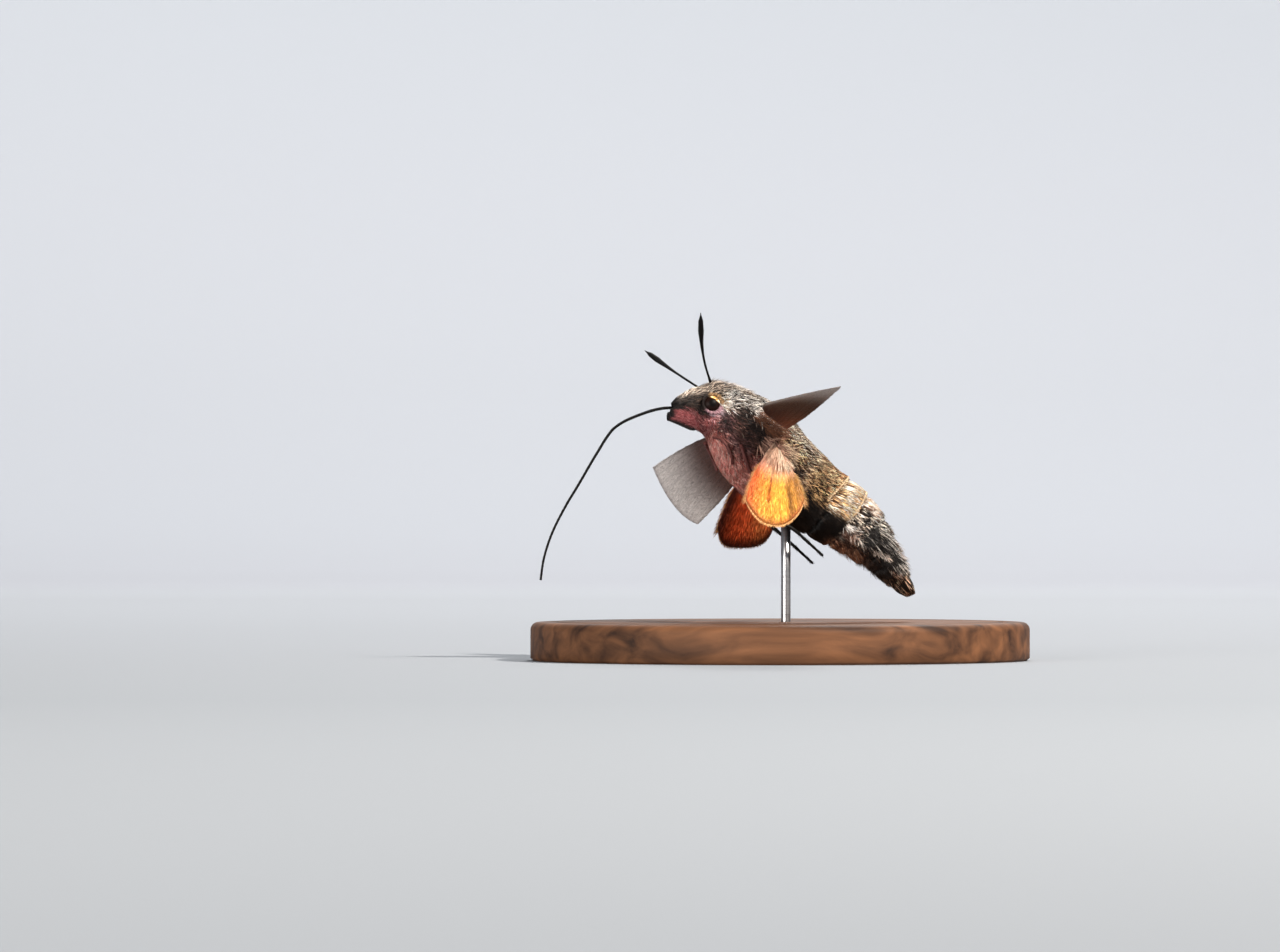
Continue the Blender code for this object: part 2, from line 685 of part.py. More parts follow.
def build_model():
    """Make every named piece of the moth and its stand."""
    clear_scene()
    parts = bpy.data.collections.new("hummingbird_hawk_moth")
    bpy.context.scene.collection.children.link(parts)

    agouti = make_material("agouti_fur", (0.23, 0.18, 0.12), 0.85)
    banded = make_material("banded_fur", (0.30, 0.22, 0.13), 0.85)
    black_fur = make_material("black_fur", (0.03, 0.025, 0.02), 0.8)
    rose = make_material("rose_fur", (0.45, 0.20, 0.19), 0.85)
    eye = make_material("eye_brown", (0.05, 0.03, 0.02), 0.15)
    black = make_material("horn_black", (0.015, 0.014, 0.014), 0.45)
    forewing = make_material("forewing_brown", (0.12, 0.08, 0.06), 0.75)
    hindwing = make_material("hindwing_orange", (0.80, 0.36, 0.08), 0.7)
    wood = make_material("stand_wood", (0.10, 0.06, 0.035), 0.4)
    metal = make_material("stand_metal", (0.55, 0.55, 0.55), 0.3, 1.0)

    coats = {"head": agouti, "thorax": agouti, "abdomen_front": banded,
             "abdomen_mid": banded, "abdomen_rear": black_fur}
    nodes = {name: add_object(name, body_length(*BODY_NODES[name]), coats[name], parts)
             for name in BODY_NODES}
    nodes["tail_brush"] = add_object("tail_brush", tail_core(), black_fur, parts)
    combine(nodes["tail_brush"], tail_locks(), "UNION")
    for name in SIDE_TUFTS:
        combine(nodes[name], side_tufts(name), "UNION")

    eye_cutters = []
    for side in SIDES:
        angle = EYE_ANGLE if side == "left" else math.pi - EYE_ANGLE
        centre = body_surface(EYE_STATION, angle, -EYE_SINK)[0]
        add_object(f"eye_{side}", ball_mesh(centre, EYE_RADIUS), eye, parts)
        eye_cutters.append(ball_mesh(centre, EYE_RADIUS + GAP))
        nodes[f"palp_{side}"] = add_object(f"palp_{side}", palp_mesh(side), rose, parts)
        add_object(f"antenna_{side}", antenna_mesh(side), black, parts)
        add_object(f"forewing_{side}", forewing_mesh(side), forewing, parts)
        add_object(f"hindwing_{side}", hindwing_mesh(side), hindwing, parts)
    add_object("proboscis", proboscis_mesh(), black, parts)

    sleeves = [palp_mesh(side, GAP) for side in SIDES]
    combine(nodes["head"], eye_cutters + sleeves + [proboscis_mesh(GAP)], "DIFFERENCE")
    for side in SIDES:
        combine(nodes[f"palp_{side}"], [proboscis_mesh(GAP)], "DIFFERENCE")

    for name, joints in FOLDED_LEGS.items():
        add_object(name, leg_mesh(folded_leg_points(joints)), black, parts)
    for name, joints in HIND_LEGS.items():
        add_object(name, leg_mesh(np.array(joints) * MM), black, parts)

    add_object("stand_rod", rod_mesh(), metal, parts)
    base_object(wood, parts)


build_model()
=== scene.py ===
# %% [markdown]
# # A hummingbird hawk moth on a display stand
# The solids of the moth and its stand are loaded first, as a fixed frame. Every piece below
# is a finer surface that lies where one of those solids lies. The solids give the outside of
# the coat, so the skin lies a coat's depth inside them, and thousands of thin tufts fill the
# space between the two.

# %% The frame
import json
import math

import bpy
import numpy as np
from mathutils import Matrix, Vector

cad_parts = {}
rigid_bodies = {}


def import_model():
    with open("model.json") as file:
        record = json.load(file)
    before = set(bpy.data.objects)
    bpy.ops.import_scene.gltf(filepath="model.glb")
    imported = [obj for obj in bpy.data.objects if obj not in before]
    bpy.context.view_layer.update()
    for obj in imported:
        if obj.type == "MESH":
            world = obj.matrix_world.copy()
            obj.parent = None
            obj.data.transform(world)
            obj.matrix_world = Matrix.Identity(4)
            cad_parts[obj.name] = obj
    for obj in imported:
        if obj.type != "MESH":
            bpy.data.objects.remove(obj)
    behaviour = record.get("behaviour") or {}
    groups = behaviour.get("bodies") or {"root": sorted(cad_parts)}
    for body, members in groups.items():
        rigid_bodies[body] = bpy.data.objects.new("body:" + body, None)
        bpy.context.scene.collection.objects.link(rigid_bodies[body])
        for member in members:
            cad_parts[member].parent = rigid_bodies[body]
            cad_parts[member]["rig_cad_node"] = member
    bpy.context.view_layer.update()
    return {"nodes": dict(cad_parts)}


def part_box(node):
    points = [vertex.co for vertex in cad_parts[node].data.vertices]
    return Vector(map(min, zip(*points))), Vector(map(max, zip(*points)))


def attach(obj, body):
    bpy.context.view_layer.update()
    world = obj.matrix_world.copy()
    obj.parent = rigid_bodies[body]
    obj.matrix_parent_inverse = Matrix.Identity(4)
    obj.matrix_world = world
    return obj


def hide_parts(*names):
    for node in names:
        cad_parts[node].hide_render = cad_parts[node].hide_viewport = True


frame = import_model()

MM = 0.001
BODY = "root"
SIDES = ("left", "right")
print("nodes in the frame:", len(frame["nodes"]))

# %% [markdown]
# ## Camera
# The picture was taken with a long lens, level with the moth. One millimetre on the moth is
# 9.6 pixels of the 1280 pixel frame, so the frame is 133 mm wide where the moth hovers. A
# camera a metre away with a 270 mm lens sees just that width, with hardly any perspective.

# %% Camera
FRAME_WIDTH_PX, FRAME_HEIGHT_PX = 1280, 952
PX_PER_MM = 9.6
STAND_MIDDLE_PX = (780, 660.4)
CAMERA_AWAY = 1.0
SENSOR = 36.0

frame_width = FRAME_WIDTH_PX / PX_PER_MM * MM
camera_x = (FRAME_WIDTH_PX / 2 - STAND_MIDDLE_PX[0]) / PX_PER_MM * MM
camera_z = (STAND_MIDDLE_PX[1] - FRAME_HEIGHT_PX / 2) / PX_PER_MM * MM
lens = bpy.data.cameras.new("camera")
lens.sensor_width = SENSOR
lens.lens = SENSOR * CAMERA_AWAY / frame_width
lens.clip_start = 0.01
camera = bpy.data.objects.new("camera", lens)
camera.location = (camera_x, -CAMERA_AWAY, camera_z)
camera.rotation_euler = (math.pi / 2, 0.0, 0.0)
bpy.context.scene.collection.objects.link(camera)
bpy.context.scene.camera = camera
print(f"lens {lens.lens:.0f} mm, camera height {camera_z * 1000:.1f} mm")

# %% [markdown]
# ## Colours
# Colours are written as they look on a screen, from 0 to 255, and turned into the linear
# values that Blender's shaders add and multiply.

# %% Colours


def linear(*colour):
    """Screen colour to linear light: a straight foot, then the power 2.4 of the standard."""
    value = np.array(colour, dtype=float) / 255.0
    return np.where(value <= 0.04045, value / 12.92, ((value + 0.055) / 1.055) ** 2.4)


def step_between(low, high, value):
    """Smooth step: 0 below low, 1 above high, 3t^2 - 2t^3 between."""
    part = np.clip((value - low) / (high - low), 0.0, 1.0)
    return part * part * (3 - 2 * part)


def unit(vector):
    """Each vector over its own length."""
    vector = np.asarray(vector, dtype=float)
    return vector / np.maximum(np.linalg.norm(vector, axis=-1, keepdims=True), 1e-12)


# %% [markdown]
# ## Finishes from nodes
# A finish is a small net of nodes: a place, some noise, a tone, then the shader. It could be
# wired by hand in the node editor, but every finish here takes the same few steps, so three
# short helpers make them.

# %% Finishes from nodes


def new_finish(name, settings):
    """A material, its node tree and its shader, with the even values set on the shader."""
    material = bpy.data.materials.new(name)
    material.use_nodes = True
    shader = material.node_tree.nodes["Principled BSDF"]
    for socket, value in settings.items():
        shader.inputs[socket].default_value = value
    return material, material.node_tree, shader


def add_node(tree, kind, settings=None, sources=None):
    """One node: numbers for some of its inputs, other nodes' outputs for the rest."""
    node = tree.nodes.new("ShaderNode" + kind)
    for socket, value in (settings or {}).items():
        node.inputs[socket].default_value = value
    for socket, output in (sources or {}).items():
        tree.links.new(output, node.inputs[socket])
    return node


def add_relief(tree, shader, height, strength, depth):
    """A bump on the shader, from a texture's height, as deep as depth in metres."""
    relief = add_node(tree, "Bump", {"Strength": strength, "Distance": depth},
                      {"Height": height})
    tree.links.new(relief.outputs["Normal"], shader.inputs["Normal"])


# %% [markdown]
# ## The stage
# A pale floor sweeps up into a pale wall a long way behind, so that no horizon line crosses
# the picture. Both are stage, not part of the model.

# %% The stage
SWEEP_HALF_WIDTH = 3.0
SWEEP_FRONT, SWEEP_BACK = -2.6, 1.6
SWEEP_BEND = 0.9
SWEEP_TOP = 2.6
SWEEP_STEPS = 24
# How far back in metres, and the paper's colour there: darker where the lamps reach it most.
PAPER_TONES = (
    (-0.60, (129, 135, 142)),
    (-0.18, (123, 129, 136)),
    (0.10, (134, 139, 146)),
    (0.49, (144, 148, 154)),
    (0.73, (163, 166, 173)),
    (0.84, (176, 180, 187)),
    (0.95, (188, 192, 199)),
    (1.07, (204, 208, 215)),
    (1.18, (216, 221, 228)),
)


def floor_sweep():
    """A profile of floor, quarter round and wall, carried sideways."""
    turn = np.linspace(0.0, math.pi / 2, SWEEP_STEPS)
    flat = np.array([(SWEEP_FRONT, 0.0), (SWEEP_BACK - SWEEP_BEND, 0.0)])
    bend = np.stack([SWEEP_BACK - SWEEP_BEND + SWEEP_BEND * np.sin(turn),
                     SWEEP_BEND * (1 - np.cos(turn))], axis=1)
    wall = np.array([(SWEEP_BACK, SWEEP_TOP)])
    profile = np.concatenate([flat, bend[1:], wall])
    left = np.insert(profile, 0, -SWEEP_HALF_WIDTH, axis=1)
    right = np.insert(profile, 0, SWEEP_HALF_WIDTH, axis=1)
    points = np.concatenate([left, right])
    count = len(profile)
    faces = [(i, i + count, i + count + 1, i + 1) for i in range(count - 1)]
    mesh = bpy.data.meshes.new("floor")
    mesh.from_pydata(points.tolist(), [], faces)
    mesh.shade_smooth()
    floor = bpy.data.objects.new("floor", mesh)
    bpy.context.scene.collection.objects.link(floor)
    return floor


def paper():
    """Dull paper whose tone follows how far back it lies, read from the table."""
    material, tree, shader = new_finish("paper", {"Roughness": 0.9})
    nearest, farthest = PAPER_TONES[0][0], PAPER_TONES[-1][0]
    place = add_node(tree, "TexCoord")
    axes = add_node(tree, "SeparateXYZ", {}, {"Vector": place.outputs["Object"]})
    depth = add_node(tree, "MapRange", {"From Min": nearest, "From Max": farthest},
                     {"Value": axes.outputs["Y"]})
    tone = add_node(tree, "ValToRGB", {}, {"Fac": depth.outputs["Result"]})
    stops = tone.color_ramp.elements
    stops.remove(stops[1])
    for back, colour in PAPER_TONES:
        part = (back - nearest) / (farthest - nearest)
        stop = stops.new(part) if part else stops[0]
        stop.color = (*linear(*colour), 1.0)
    tree.links.new(tone.outputs["Color"], shader.inputs["Base Color"])
    return material


floor = floor_sweep()
floor.data.materials.append(paper())
print("tones of the paper:", len(PAPER_TONES))

# %% [markdown]
# ## Light
# A small bright lamp high on the right, a little to the front, stands in for the sun and
# picks out the moth's back. A big soft one on the left lights the face, one behind the moth
# lights its edges, one lights the wall, and a pale sky fills the rest.

# %% Light


def soft_lamp(name, place, target, power, size, colour):
    """An area lamp that faces a target."""
    lamp = bpy.data.lights.new(name, "AREA")
    lamp.energy = power
    lamp.shape = "DISK"
    lamp.size = size
    lamp.color = colour
    holder = bpy.data.objects.new(name, lamp)
    holder.location = place
    away = np.subtract(place, target)
    pitch = math.atan2(math.hypot(away[0], away[1]), away[2])
    holder.rotation_euler = (pitch, 0.0, math.atan2(away[0], -away[1]))
    bpy.context.scene.collection.objects.link(holder)


MOTH_MIDDLE = (0.0, 0.0, 0.019)
WALL_MIDDLE = (0.0, 1.3, 0.1)
SKY_COLOUR, SKY_STRENGTH = (226, 231, 238), 0.28
# Name, place, target, power in watts, size in metres, colour.
LAMPS = (
    ("main_lamp", (0.50, -0.42, 0.52), MOTH_MIDDLE, 15.0, 0.05, (1.0, 0.92, 0.83)),
    ("face_lamp", (-0.62, -0.86, 0.09), MOTH_MIDDLE, 16.0, 0.6, (1.0, 0.95, 0.90)),
    ("rim_lamp", (0.10, 0.60, 0.65), MOTH_MIDDLE, 6.0, 0.3, (1.0, 0.97, 0.93)),
    ("wall_lamp", (0.0, 0.5, 0.9), WALL_MIDDLE, 5.0, 0.8, (1.0, 1.0, 1.0)),
)
for lamp in LAMPS:
    soft_lamp(*lamp)
sky = bpy.data.worlds.new("sky")
sky.use_nodes = True
background = sky.node_tree.nodes["Background"]
background.inputs["Color"].default_value = (*linear(*SKY_COLOUR), 1.0)
background.inputs["Strength"].default_value = SKY_STRENGTH
bpy.context.scene.world = sky
bpy.context.scene.view_settings.view_transform = "Standard"
print("lamps:", len(LAMPS))

# %% [markdown]
# ## The shape of the body
# The body is a bent tube. A short table gives its centre line, half depth and half width,
# nose to tail tip, and a smooth curve reads it anywhere. A point on the body is then named
# by a station along it and an angle round it: 0 degrees is the moth's left side, 90 its back.

# %% The body's line and surface
BODY_STATIONS = np.array([
    (-11.30, 26.62, 0.34, 0.45),
    (-10.40, 26.74, 0.86, 1.00),
    (-9.10, 26.75, 1.70, 1.80),
    (-7.92, 26.40, 2.60, 2.25),
    (-6.72, 26.03, 3.00, 2.60),
    (-5.31, 25.20, 3.54, 3.40),
    (-3.65, 23.70, 4.33, 4.20),
    (-2.29, 22.20, 4.65, 4.50),
    (-0.73, 20.60, 4.45, 4.35),
    (1.09, 19.10, 4.12, 3.90),
    (3.70, 16.86, 3.76, 3.75),
    (6.04, 15.35, 3.55, 3.75),
    (8.02, 13.75, 3.00, 3.55),
    (9.58, 12.10, 2.40, 3.25),
    (10.75, 10.75, 1.80, 2.95),
    (11.60, 9.50, 1.35, 2.85),
    (12.45, 8.30, 0.95, 2.80),
    (13.20, 7.35, 0.60, 2.30),
    (13.70, 6.75, 0.24, 1.45),
])
BODY_YAW = 0.17
BODY_MIDDLE_X = 1.5 * MM
ROLL_HEAD, ROLL_TAIL = math.radians(15.0), math.radians(7.5)
TAIL_TIP = len(BODY_STATIONS) - 1.0


def smooth_between(rows, place):
    """A cubic through each pair of rows, with slopes from the rows on either side."""
    rows = np.asarray(rows, dtype=float)
    place = np.atleast_1d(np.asarray(place, dtype=float))
    first = np.clip(np.floor(place).astype(int), 0, len(rows) - 2)
    part = (place - first)[:, None]
    before = rows[np.maximum(first - 1, 0)]
    start = rows[first]
    end = rows[first + 1]
    after = rows[np.minimum(first + 2, len(rows) - 1)]
    return 0.5 * (2 * start + (end - before) * part
                  + (2 * before - 5 * start + 4 * end - after) * part ** 2
                  + (3 * start - before - 3 * end + after) * part ** 3)


def body_line(place):
    """Centre, half depth and half width at each station."""
    row = smooth_between(BODY_STATIONS, place) * MM
    across = BODY_YAW * (row[:, 0] - BODY_MIDDLE_X)
    return np.stack([row[:, 0], across, row[:, 1]], axis=1), row[:, 2], row[:, 3]


def body_axes(place):
    """Directions to the moth's left and back: the level axes, rolled by a few degrees."""
    place = np.atleast_1d(np.asarray(place, dtype=float))
    ahead = body_line(np.clip(place - 0.05, 0, TAIL_TIP))[0]
    behind = body_line(np.clip(place + 0.05, 0, TAIL_TIP))[0]
    forward = unit(ahead - behind)
    level = unit(np.cross((0.0, 0.0, 1.0), forward))
    upright = np.cross(forward, level)
    roll = (ROLL_HEAD + (ROLL_TAIL - ROLL_HEAD) * place / TAIL_TIP)[:, None]
    left = level * np.cos(roll) + upright * np.sin(roll)
    return left, np.cross(forward, left)


def body_surface(place, angle, lift=0.0):
    """Centre + (width + lift) cos(angle) left + (depth + lift) sin(angle) back."""
    centre, depth, width = body_line(place)
    left, back = body_axes(place)
    aside = ((width + lift) * np.cos(angle))[:, None]
    above = ((depth + lift) * np.sin(angle))[:, None]
    return centre + left * aside + back * above


def laid_on_body(stations, angles, lift):
    """A grid of points on the body's surface, and the way outward at each of them."""
    flat = stations.ravel()
    points = body_surface(flat, angles.ravel(), lift.ravel())
    outward = unit(points - body_line(flat)[0])
    return points.reshape(*stations.shape, 3), outward.reshape(*stations.shape, 3)


def body_spot(station, angle, lift):
    """One point of the body's surface."""
    return body_surface(np.array([station]), np.array([angle]), lift)[0]


def on_side(side, angle):
    """An angle of the left side, or the same place on the right."""
    return angle if side == "left" else math.pi - angle


RING_LEAN, RING_LEAN_LEVEL = 0.40, 0.4
RING_LEAN_STARTS, RING_LEAN_STOPS = (9.3, 10.3), (10.7, 11.2)


def ring_lean(place, angle):
    """How many stations further back a ring's edge lies on the back than on the side."""
    leaning = step_between(*RING_LEAN_STARTS, place) * (1 - step_between(*RING_LEAN_STOPS, place))
    return RING_LEAN * leaning * (np.maximum(np.sin(angle), 0.0) - RING_LEAN_LEVEL)


line_points = body_line(np.linspace(0, TAIL_TIP, 200))[0]
line_length = np.linalg.norm(np.diff(line_points, axis=0), axis=1).sum()
print(f"body length {line_length / MM:.1f} mm")

# %% [markdown]
# ## Markings
# On the moth the markings are the colours of its scales: grey-brown back, rose throat and
# breast, dark flanks, gold and tan rings, black rear. The cheeks and flanks, a crease at the
# neck and the belly are darkened further by painted shade. They could be painted on a
# picture, but skin and coat must agree, so both read one function of station and height round
# the body.
# Each region has a base, a light and a dark colour. The skin takes the base, darkened as
# painted shade under the coat, and each tuft draws one of the three, which gives the flecked
# coat of the species.

# %% Markings
# Station from, to, softness; height from, to, softness in degrees; base, light, dark.
REGIONS = (
    (-1, 19, 1, -99, 99, 1, (72, 58, 49), (228, 208, 190), (15, 12, 11)),
    (3.8, 9, .5, 34, 99, 10, (92, 73, 61), (255, 240, 224), (20, 16, 14)),
    (-1, 4.2, .3, -99, -14, 6, (162, 86, 84), (212, 148, 146), (100, 52, 54)),
    (1.9, 4.0, .2, -34, -12, 5, (136, 100, 106), (204, 176, 186), (84, 58, 62)),
    (-1, 3.0, .2, -38, 22, 5, (28, 21, 18), (80, 64, 56), (11, 9, 8)),
    (-1, .55, .3, -99, 99, 5, (20, 16, 15), (52, 44, 40), (10, 8, 8)),
    (1.0, 1.6, .12, 34, 58, 6, (136, 116, 100), (236, 222, 208), (68, 55, 46)),
    (3.7, 4.5, .25, -2, 46, 7, (42, 34, 31), (248, 240, 232), (11, 9, 9)),
    (4.3, 6.2, .3, 17, 46, 6, (50, 41, 36), (248, 238, 228), (13, 11, 10)),
    (3.9, 9.4, .35, -99, -26, 8, (206, 116, 106), (240, 182, 170), (136, 72, 66)),
    (4.2, 8.6, .35, -99, -56, 9, (246, 152, 142), (255, 206, 194), (170, 92, 86)),
    # Cheek and flanks: their own dark brown and mauve, darkened further by painted shade below the
    # eye and under the wing roots.
    (3.9, 6.4, .3, -50, -6, 8, (72, 45, 43), (126, 88, 88), (34, 21, 21)),
    (4.7, 8.9, .35, -32, -8, 7, (62, 40, 34), (104, 72, 64), (34, 22, 20)),
    (4.5, 6.9, .3, -12, 15, 5, (36, 25, 23), (78, 56, 50), (17, 12, 11)),
    (4.7, 8.9, .35, -12, 7, 6, (23, 16, 14), (56, 40, 34), (13, 9, 8)),
    # A dark crease between head and thorax: painted shade.
    (4.05, 4.55, .12, -50, -3, 5, (42, 26, 26), (92, 62, 62), (17, 10, 10)),
    (6.7, 8.9, .4, 5, 30, 8, (92, 60, 40), (255, 208, 156), (24, 17, 14)),
    (6.6, 9.2, .5, 28, 99, 12, (104, 78, 62), (255, 228, 200), (24, 18, 16)),
    (9.0, 10.4, .25, -14, 99, 9, (136, 90, 60), (255, 216, 170), (26, 18, 15)),
    (9.1, 10.4, .2, -32, 24, 9, (58, 40, 28), (240, 190, 136), (15, 12, 10)),
    (9.8, 10.4, .12, 0, 60, 8, (176, 116, 70), (255, 224, 176), (34, 23, 18)),
    (10.4, 11.37, .04, -20, 99, 6, (250, 202, 150), (255, 248, 230), (100, 68, 46)),
    (11.37, 11.95, .05, 22, 99, 9, (222, 190, 164), (255, 246, 234), (130, 98, 80)),
    (11.37, 13.0, .08, -30, 26, 7, (34, 26, 22), (240, 222, 204), (8, 6, 6)),
    (11.95, 13.0, .10, 8, 99, 8, (64, 51, 43), (255, 244, 228), (9, 7, 6)),
    (12.9, 14.8, .15, -14, 99, 8, (110, 93, 80), (255, 250, 242), (12, 10, 9)),
    # The belly: its own dark scales, darkened further by painted shade under the body.
    (8.9, 11.4, .35, -99, -20, 6, (14, 11, 10), (40, 32, 27), (7, 6, 5)),
    (11.4, 15.6, .2, -99, -24, 5, (14, 11, 10), (40, 32, 27), (7, 6, 5)),
    (11.8, 12.7, .06, -42, -35, 2, (238, 226, 214), (255, 252, 246), (170, 146, 130)),
    (12.6, 13.4, .06, -33, -26, 2, (238, 226, 214), (255, 252, 246), (170, 146, 130)),
    (13.3, 14.1, .06, -24, -17, 2, (238, 226, 214), (255, 252, 246), (170, 146, 130)),
    (11.3, 11.8, .05, -31, -22, 2, (244, 236, 228), (255, 253, 248), (170, 148, 134)),
    (11.4, 11.95, .1, -49, -36, 4, (190, 148, 130), (230, 194, 174), (98, 68, 56)),
    (11.0, 12.9, .15, -99, -62, 7, (150, 100, 74), (206, 158, 126), (80, 49, 35)),
    (15.1, 19, .3, -99, 99, 8, (32, 24, 20), (232, 196, 168), (9, 8, 7)),
    (14.2, 15.2, .15, -38, -12, 6, (216, 176, 152), (255, 236, 220), (58, 42, 35)),
)
SEGMENT_EDGES = (9.0, 10.4, 11.37, 12.4, 13.4, 14.35, 15.3)
PALE_EDGES = (10.4, 11.37)
SPECKLE_LONG, SPECKLE_WIDE = 0.15, 0.036
COARSE_FROM, COARSER = 11.4, 1.5
LIGHT_BELOW, DARK_ABOVE = 0.28, 0.64
EYE_STATION = 3.3
EYE_ANGLE = math.radians(-2.0)
EYE_RADIUS = 1.06 * MM
EYE_SINK = 0.72 * MM
# Eye radii to a station and to a radian, and the rim's radius and breadth in eye radii.
RIM_ALONG, RIM_AROUND, RIM_RADIUS, RIM_BREADTH = 1.45, 2.9, 1.18, 0.16
RIM_BELOW, RIM_BELOW_SHARE = linear(206, 182, 190), 0.7
# The gold above and behind the eye is painted light, on the side the main lamp lights.
RIM_LIT_GOLD, RIM_LIT_GOLD_SHARE = linear(214, 164, 84), 0.25


def side_height(angle):
    """The angle above or below the level, the same on both sides of the body."""
    return np.arcsin(np.clip(np.sin(angle), -1, 1))


def window(low, high, soft, value):
    """1 between low and high and 0 outside, with a smooth step over twice soft at both."""
    return (step_between(low - soft, low + soft, value)
            * (1 - step_between(high - soft, high + soft, value)))


def region_colours(place, angle):
    """Base, light and dark colour of each spot: regions laid over one another in turn."""
    height = np.degrees(side_height(angle))
    place = place - ring_lean(place, angle)
    shades = np.zeros((len(place), 3, 3))
    for start, end, soft, low, high, blur, *triple in REGIONS:
        cover = window(start, end, soft, place) * window(low, high, blur, height)
        colours = np.array([linear(*colour) for colour in triple])
        shades += cover[:, None, None] * (colours - shades)
    return shades


def eye_rim(place, angle):
    """How near each spot is to the eye's rim, below it, and above and behind it."""
    along = (place - EYE_STATION) * RIM_ALONG
    around = (side_height(angle) - EYE_ANGLE) * RIM_AROUND
    apart = np.hypot(along, around)
    rim = np.exp(-((apart - RIM_RADIUS) / RIM_BREADTH) ** 2)
    apart = np.maximum(apart, 0.1)
    below = rim * step_between(0.1, 0.6, -around / apart)
    return below, rim * step_between(0.2, 0.7, (around + 0.5 * along) / apart)


def tail_digits(value):
    """A number from 0 to 1 that looks random but never changes: a big sine's tail digits."""
    return np.modf(np.abs(np.sin(value)) * 43758.5453)[0]


def speckle(place, angle):
    """A number from 0 to 1 for each small brick of the coat, the bricks larger at the rear."""
    size = np.where(place > COARSE_FROM, COARSER, 1.0)
    row = np.floor(place / (SPECKLE_LONG * size))
    column = np.floor(angle / (SPECKLE_WIDE * size) + 0.5 * (row % 2))
    return tail_digits(row * 127.1 + column * 311.7)


def flecked(place, angle, draw):
    """One colour a tuft: light for a low draw, dark for a high one, the base between."""
    shades = region_colours(place, angle)
    light = (draw < LIGHT_BELOW)[:, None]
    dark = (draw > DARK_ABOVE)[:, None]
    colour = np.where(light, shades[:, 1], np.where(dark, shades[:, 2], shades[:, 0]))
    # Lilac below the eye; above and behind it, gold painted light.
    below, above = eye_rim(place, angle)
    colour = colour + RIM_BELOW_SHARE * below[:, None] * (RIM_BELOW - colour)
    return colour + RIM_LIT_GOLD_SHARE * above[:, None] * (RIM_LIT_GOLD - colour)


print("regions of the markings:", len(REGIONS))

# %% [markdown]
# ## Meshes from arrays
# On the real moth every surface is either a closed skin or a very thin scale that grows out
# of it. Tubes, sheets and lone blades could be modelled by hand, but there are tens of
# thousands of them, so each kind is one formula, worked out for whole arrays at once.

# %% Meshes from arrays
COAT_UV = "OFBake"


def solid(name, points, triangles, slot, replaced=(), colours=None, uv=None):
    """A mesh piece on the body, with one colour and one place in the map for each point."""
    mesh = bpy.data.meshes.new(name)
    mesh.vertices.add(len(points))
    mesh.vertices.foreach_set("co", np.asarray(points, np.float32).ravel())
    mesh.loops.add(triangles.size)
    mesh.loops.foreach_set("vertex_index", np.asarray(triangles, np.int32).ravel())
    mesh.polygons.add(len(triangles))
    mesh.polygons.foreach_set("loop_start", np.arange(0, triangles.size, 3, dtype=np.int32))
    mesh.update(calc_edges=True)
    if colours is not None:
        paint = mesh.color_attributes.new("coat", "FLOAT_COLOR", "POINT")
        rgba = np.concatenate([np.clip(colours, 0, 1), np.ones((len(colours), 1))], axis=1)
        paint.data.foreach_set("color", rgba.astype(np.float32).ravel())
    if uv is not None:
        layer = mesh.uv_layers.new(name=COAT_UV)
        layer.data.foreach_set("uv", uv[triangles.ravel()].astype(np.float32).ravel())
    mesh.shade_smooth()
    piece = bpy.data.objects.new(name, mesh)
    bpy.context.scene.collection.objects.link(piece)
    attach(piece, BODY)
    if replaced:
        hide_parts(*replaced)
    return piece


def tube(rings):
    """Triangles over a stack of closed rings, with a point in the middle of each end."""
    count, sides = rings.shape[:2]
    points = np.concatenate([rings.reshape(-1, 3), rings[:1].mean(axis=1),
                             rings[-1:].mean(axis=1)])
    row, side = np.meshgrid(np.arange(count - 1), np.arange(sides), indexing="ij")
    here = (row * sides + side).ravel()
    beside = (row * sides + (side + 1) % sides).ravel()
    walls = np.concatenate([np.stack([here, beside, beside + sides], axis=1),
                            np.stack([here, beside + sides, here + sides], axis=1)])
    around = np.arange(sides)
    following = (around + 1) % sides
    last = (count - 1) * sides
    start = np.full(sides, count * sides)
    caps = np.concatenate([np.stack([start, following, around], axis=1),
                           np.stack([start + 1, last + around, last + following], axis=1)])
    return points, outward_facing(points, np.concatenate([walls, caps]))


def outward_facing(points, triangles):
    """Turn every triangle over if the volume that they enclose comes out below nothing."""
    a, b, c = (points[triangles[:, corner]] for corner in range(3))
    volume = np.einsum("ij,ij->i", a - points.mean(axis=0), np.cross(b - a, c - a)).sum()
    return triangles if volume > 0 else triangles[:, ::-1]


def path_axes(path):
    """The way along a path at each of its points, and two directions square to it."""
    along = unit(np.gradient(path, axis=0))
    first = unit(np.cross(along, (0.0, 1.0, 0.0)))
    return along, first, np.cross(along, first)


def swept(path, radii, sides):
    """Rings round a path: radius times (cos, sin) of two directions square to the path."""
    first, second = path_axes(path)[1:]
    turn = np.linspace(0, 2 * math.pi, sides, endpoint=False)
    ring = (np.cos(turn)[None, :, None] * first[:, None]
            + np.sin(turn)[None, :, None] * second[:, None])
    return path[:, None] + ring * radii[:, None, None]


def joined(parts):
    """Several (points, triangles) laid into one pair."""
    points = np.concatenate([part[0] for part in parts])
    starts = np.cumsum([0] + [len(part[0]) for part in parts[:-1]])
    return points, np.concatenate([part[1] + start for part, start in zip(parts, starts)])


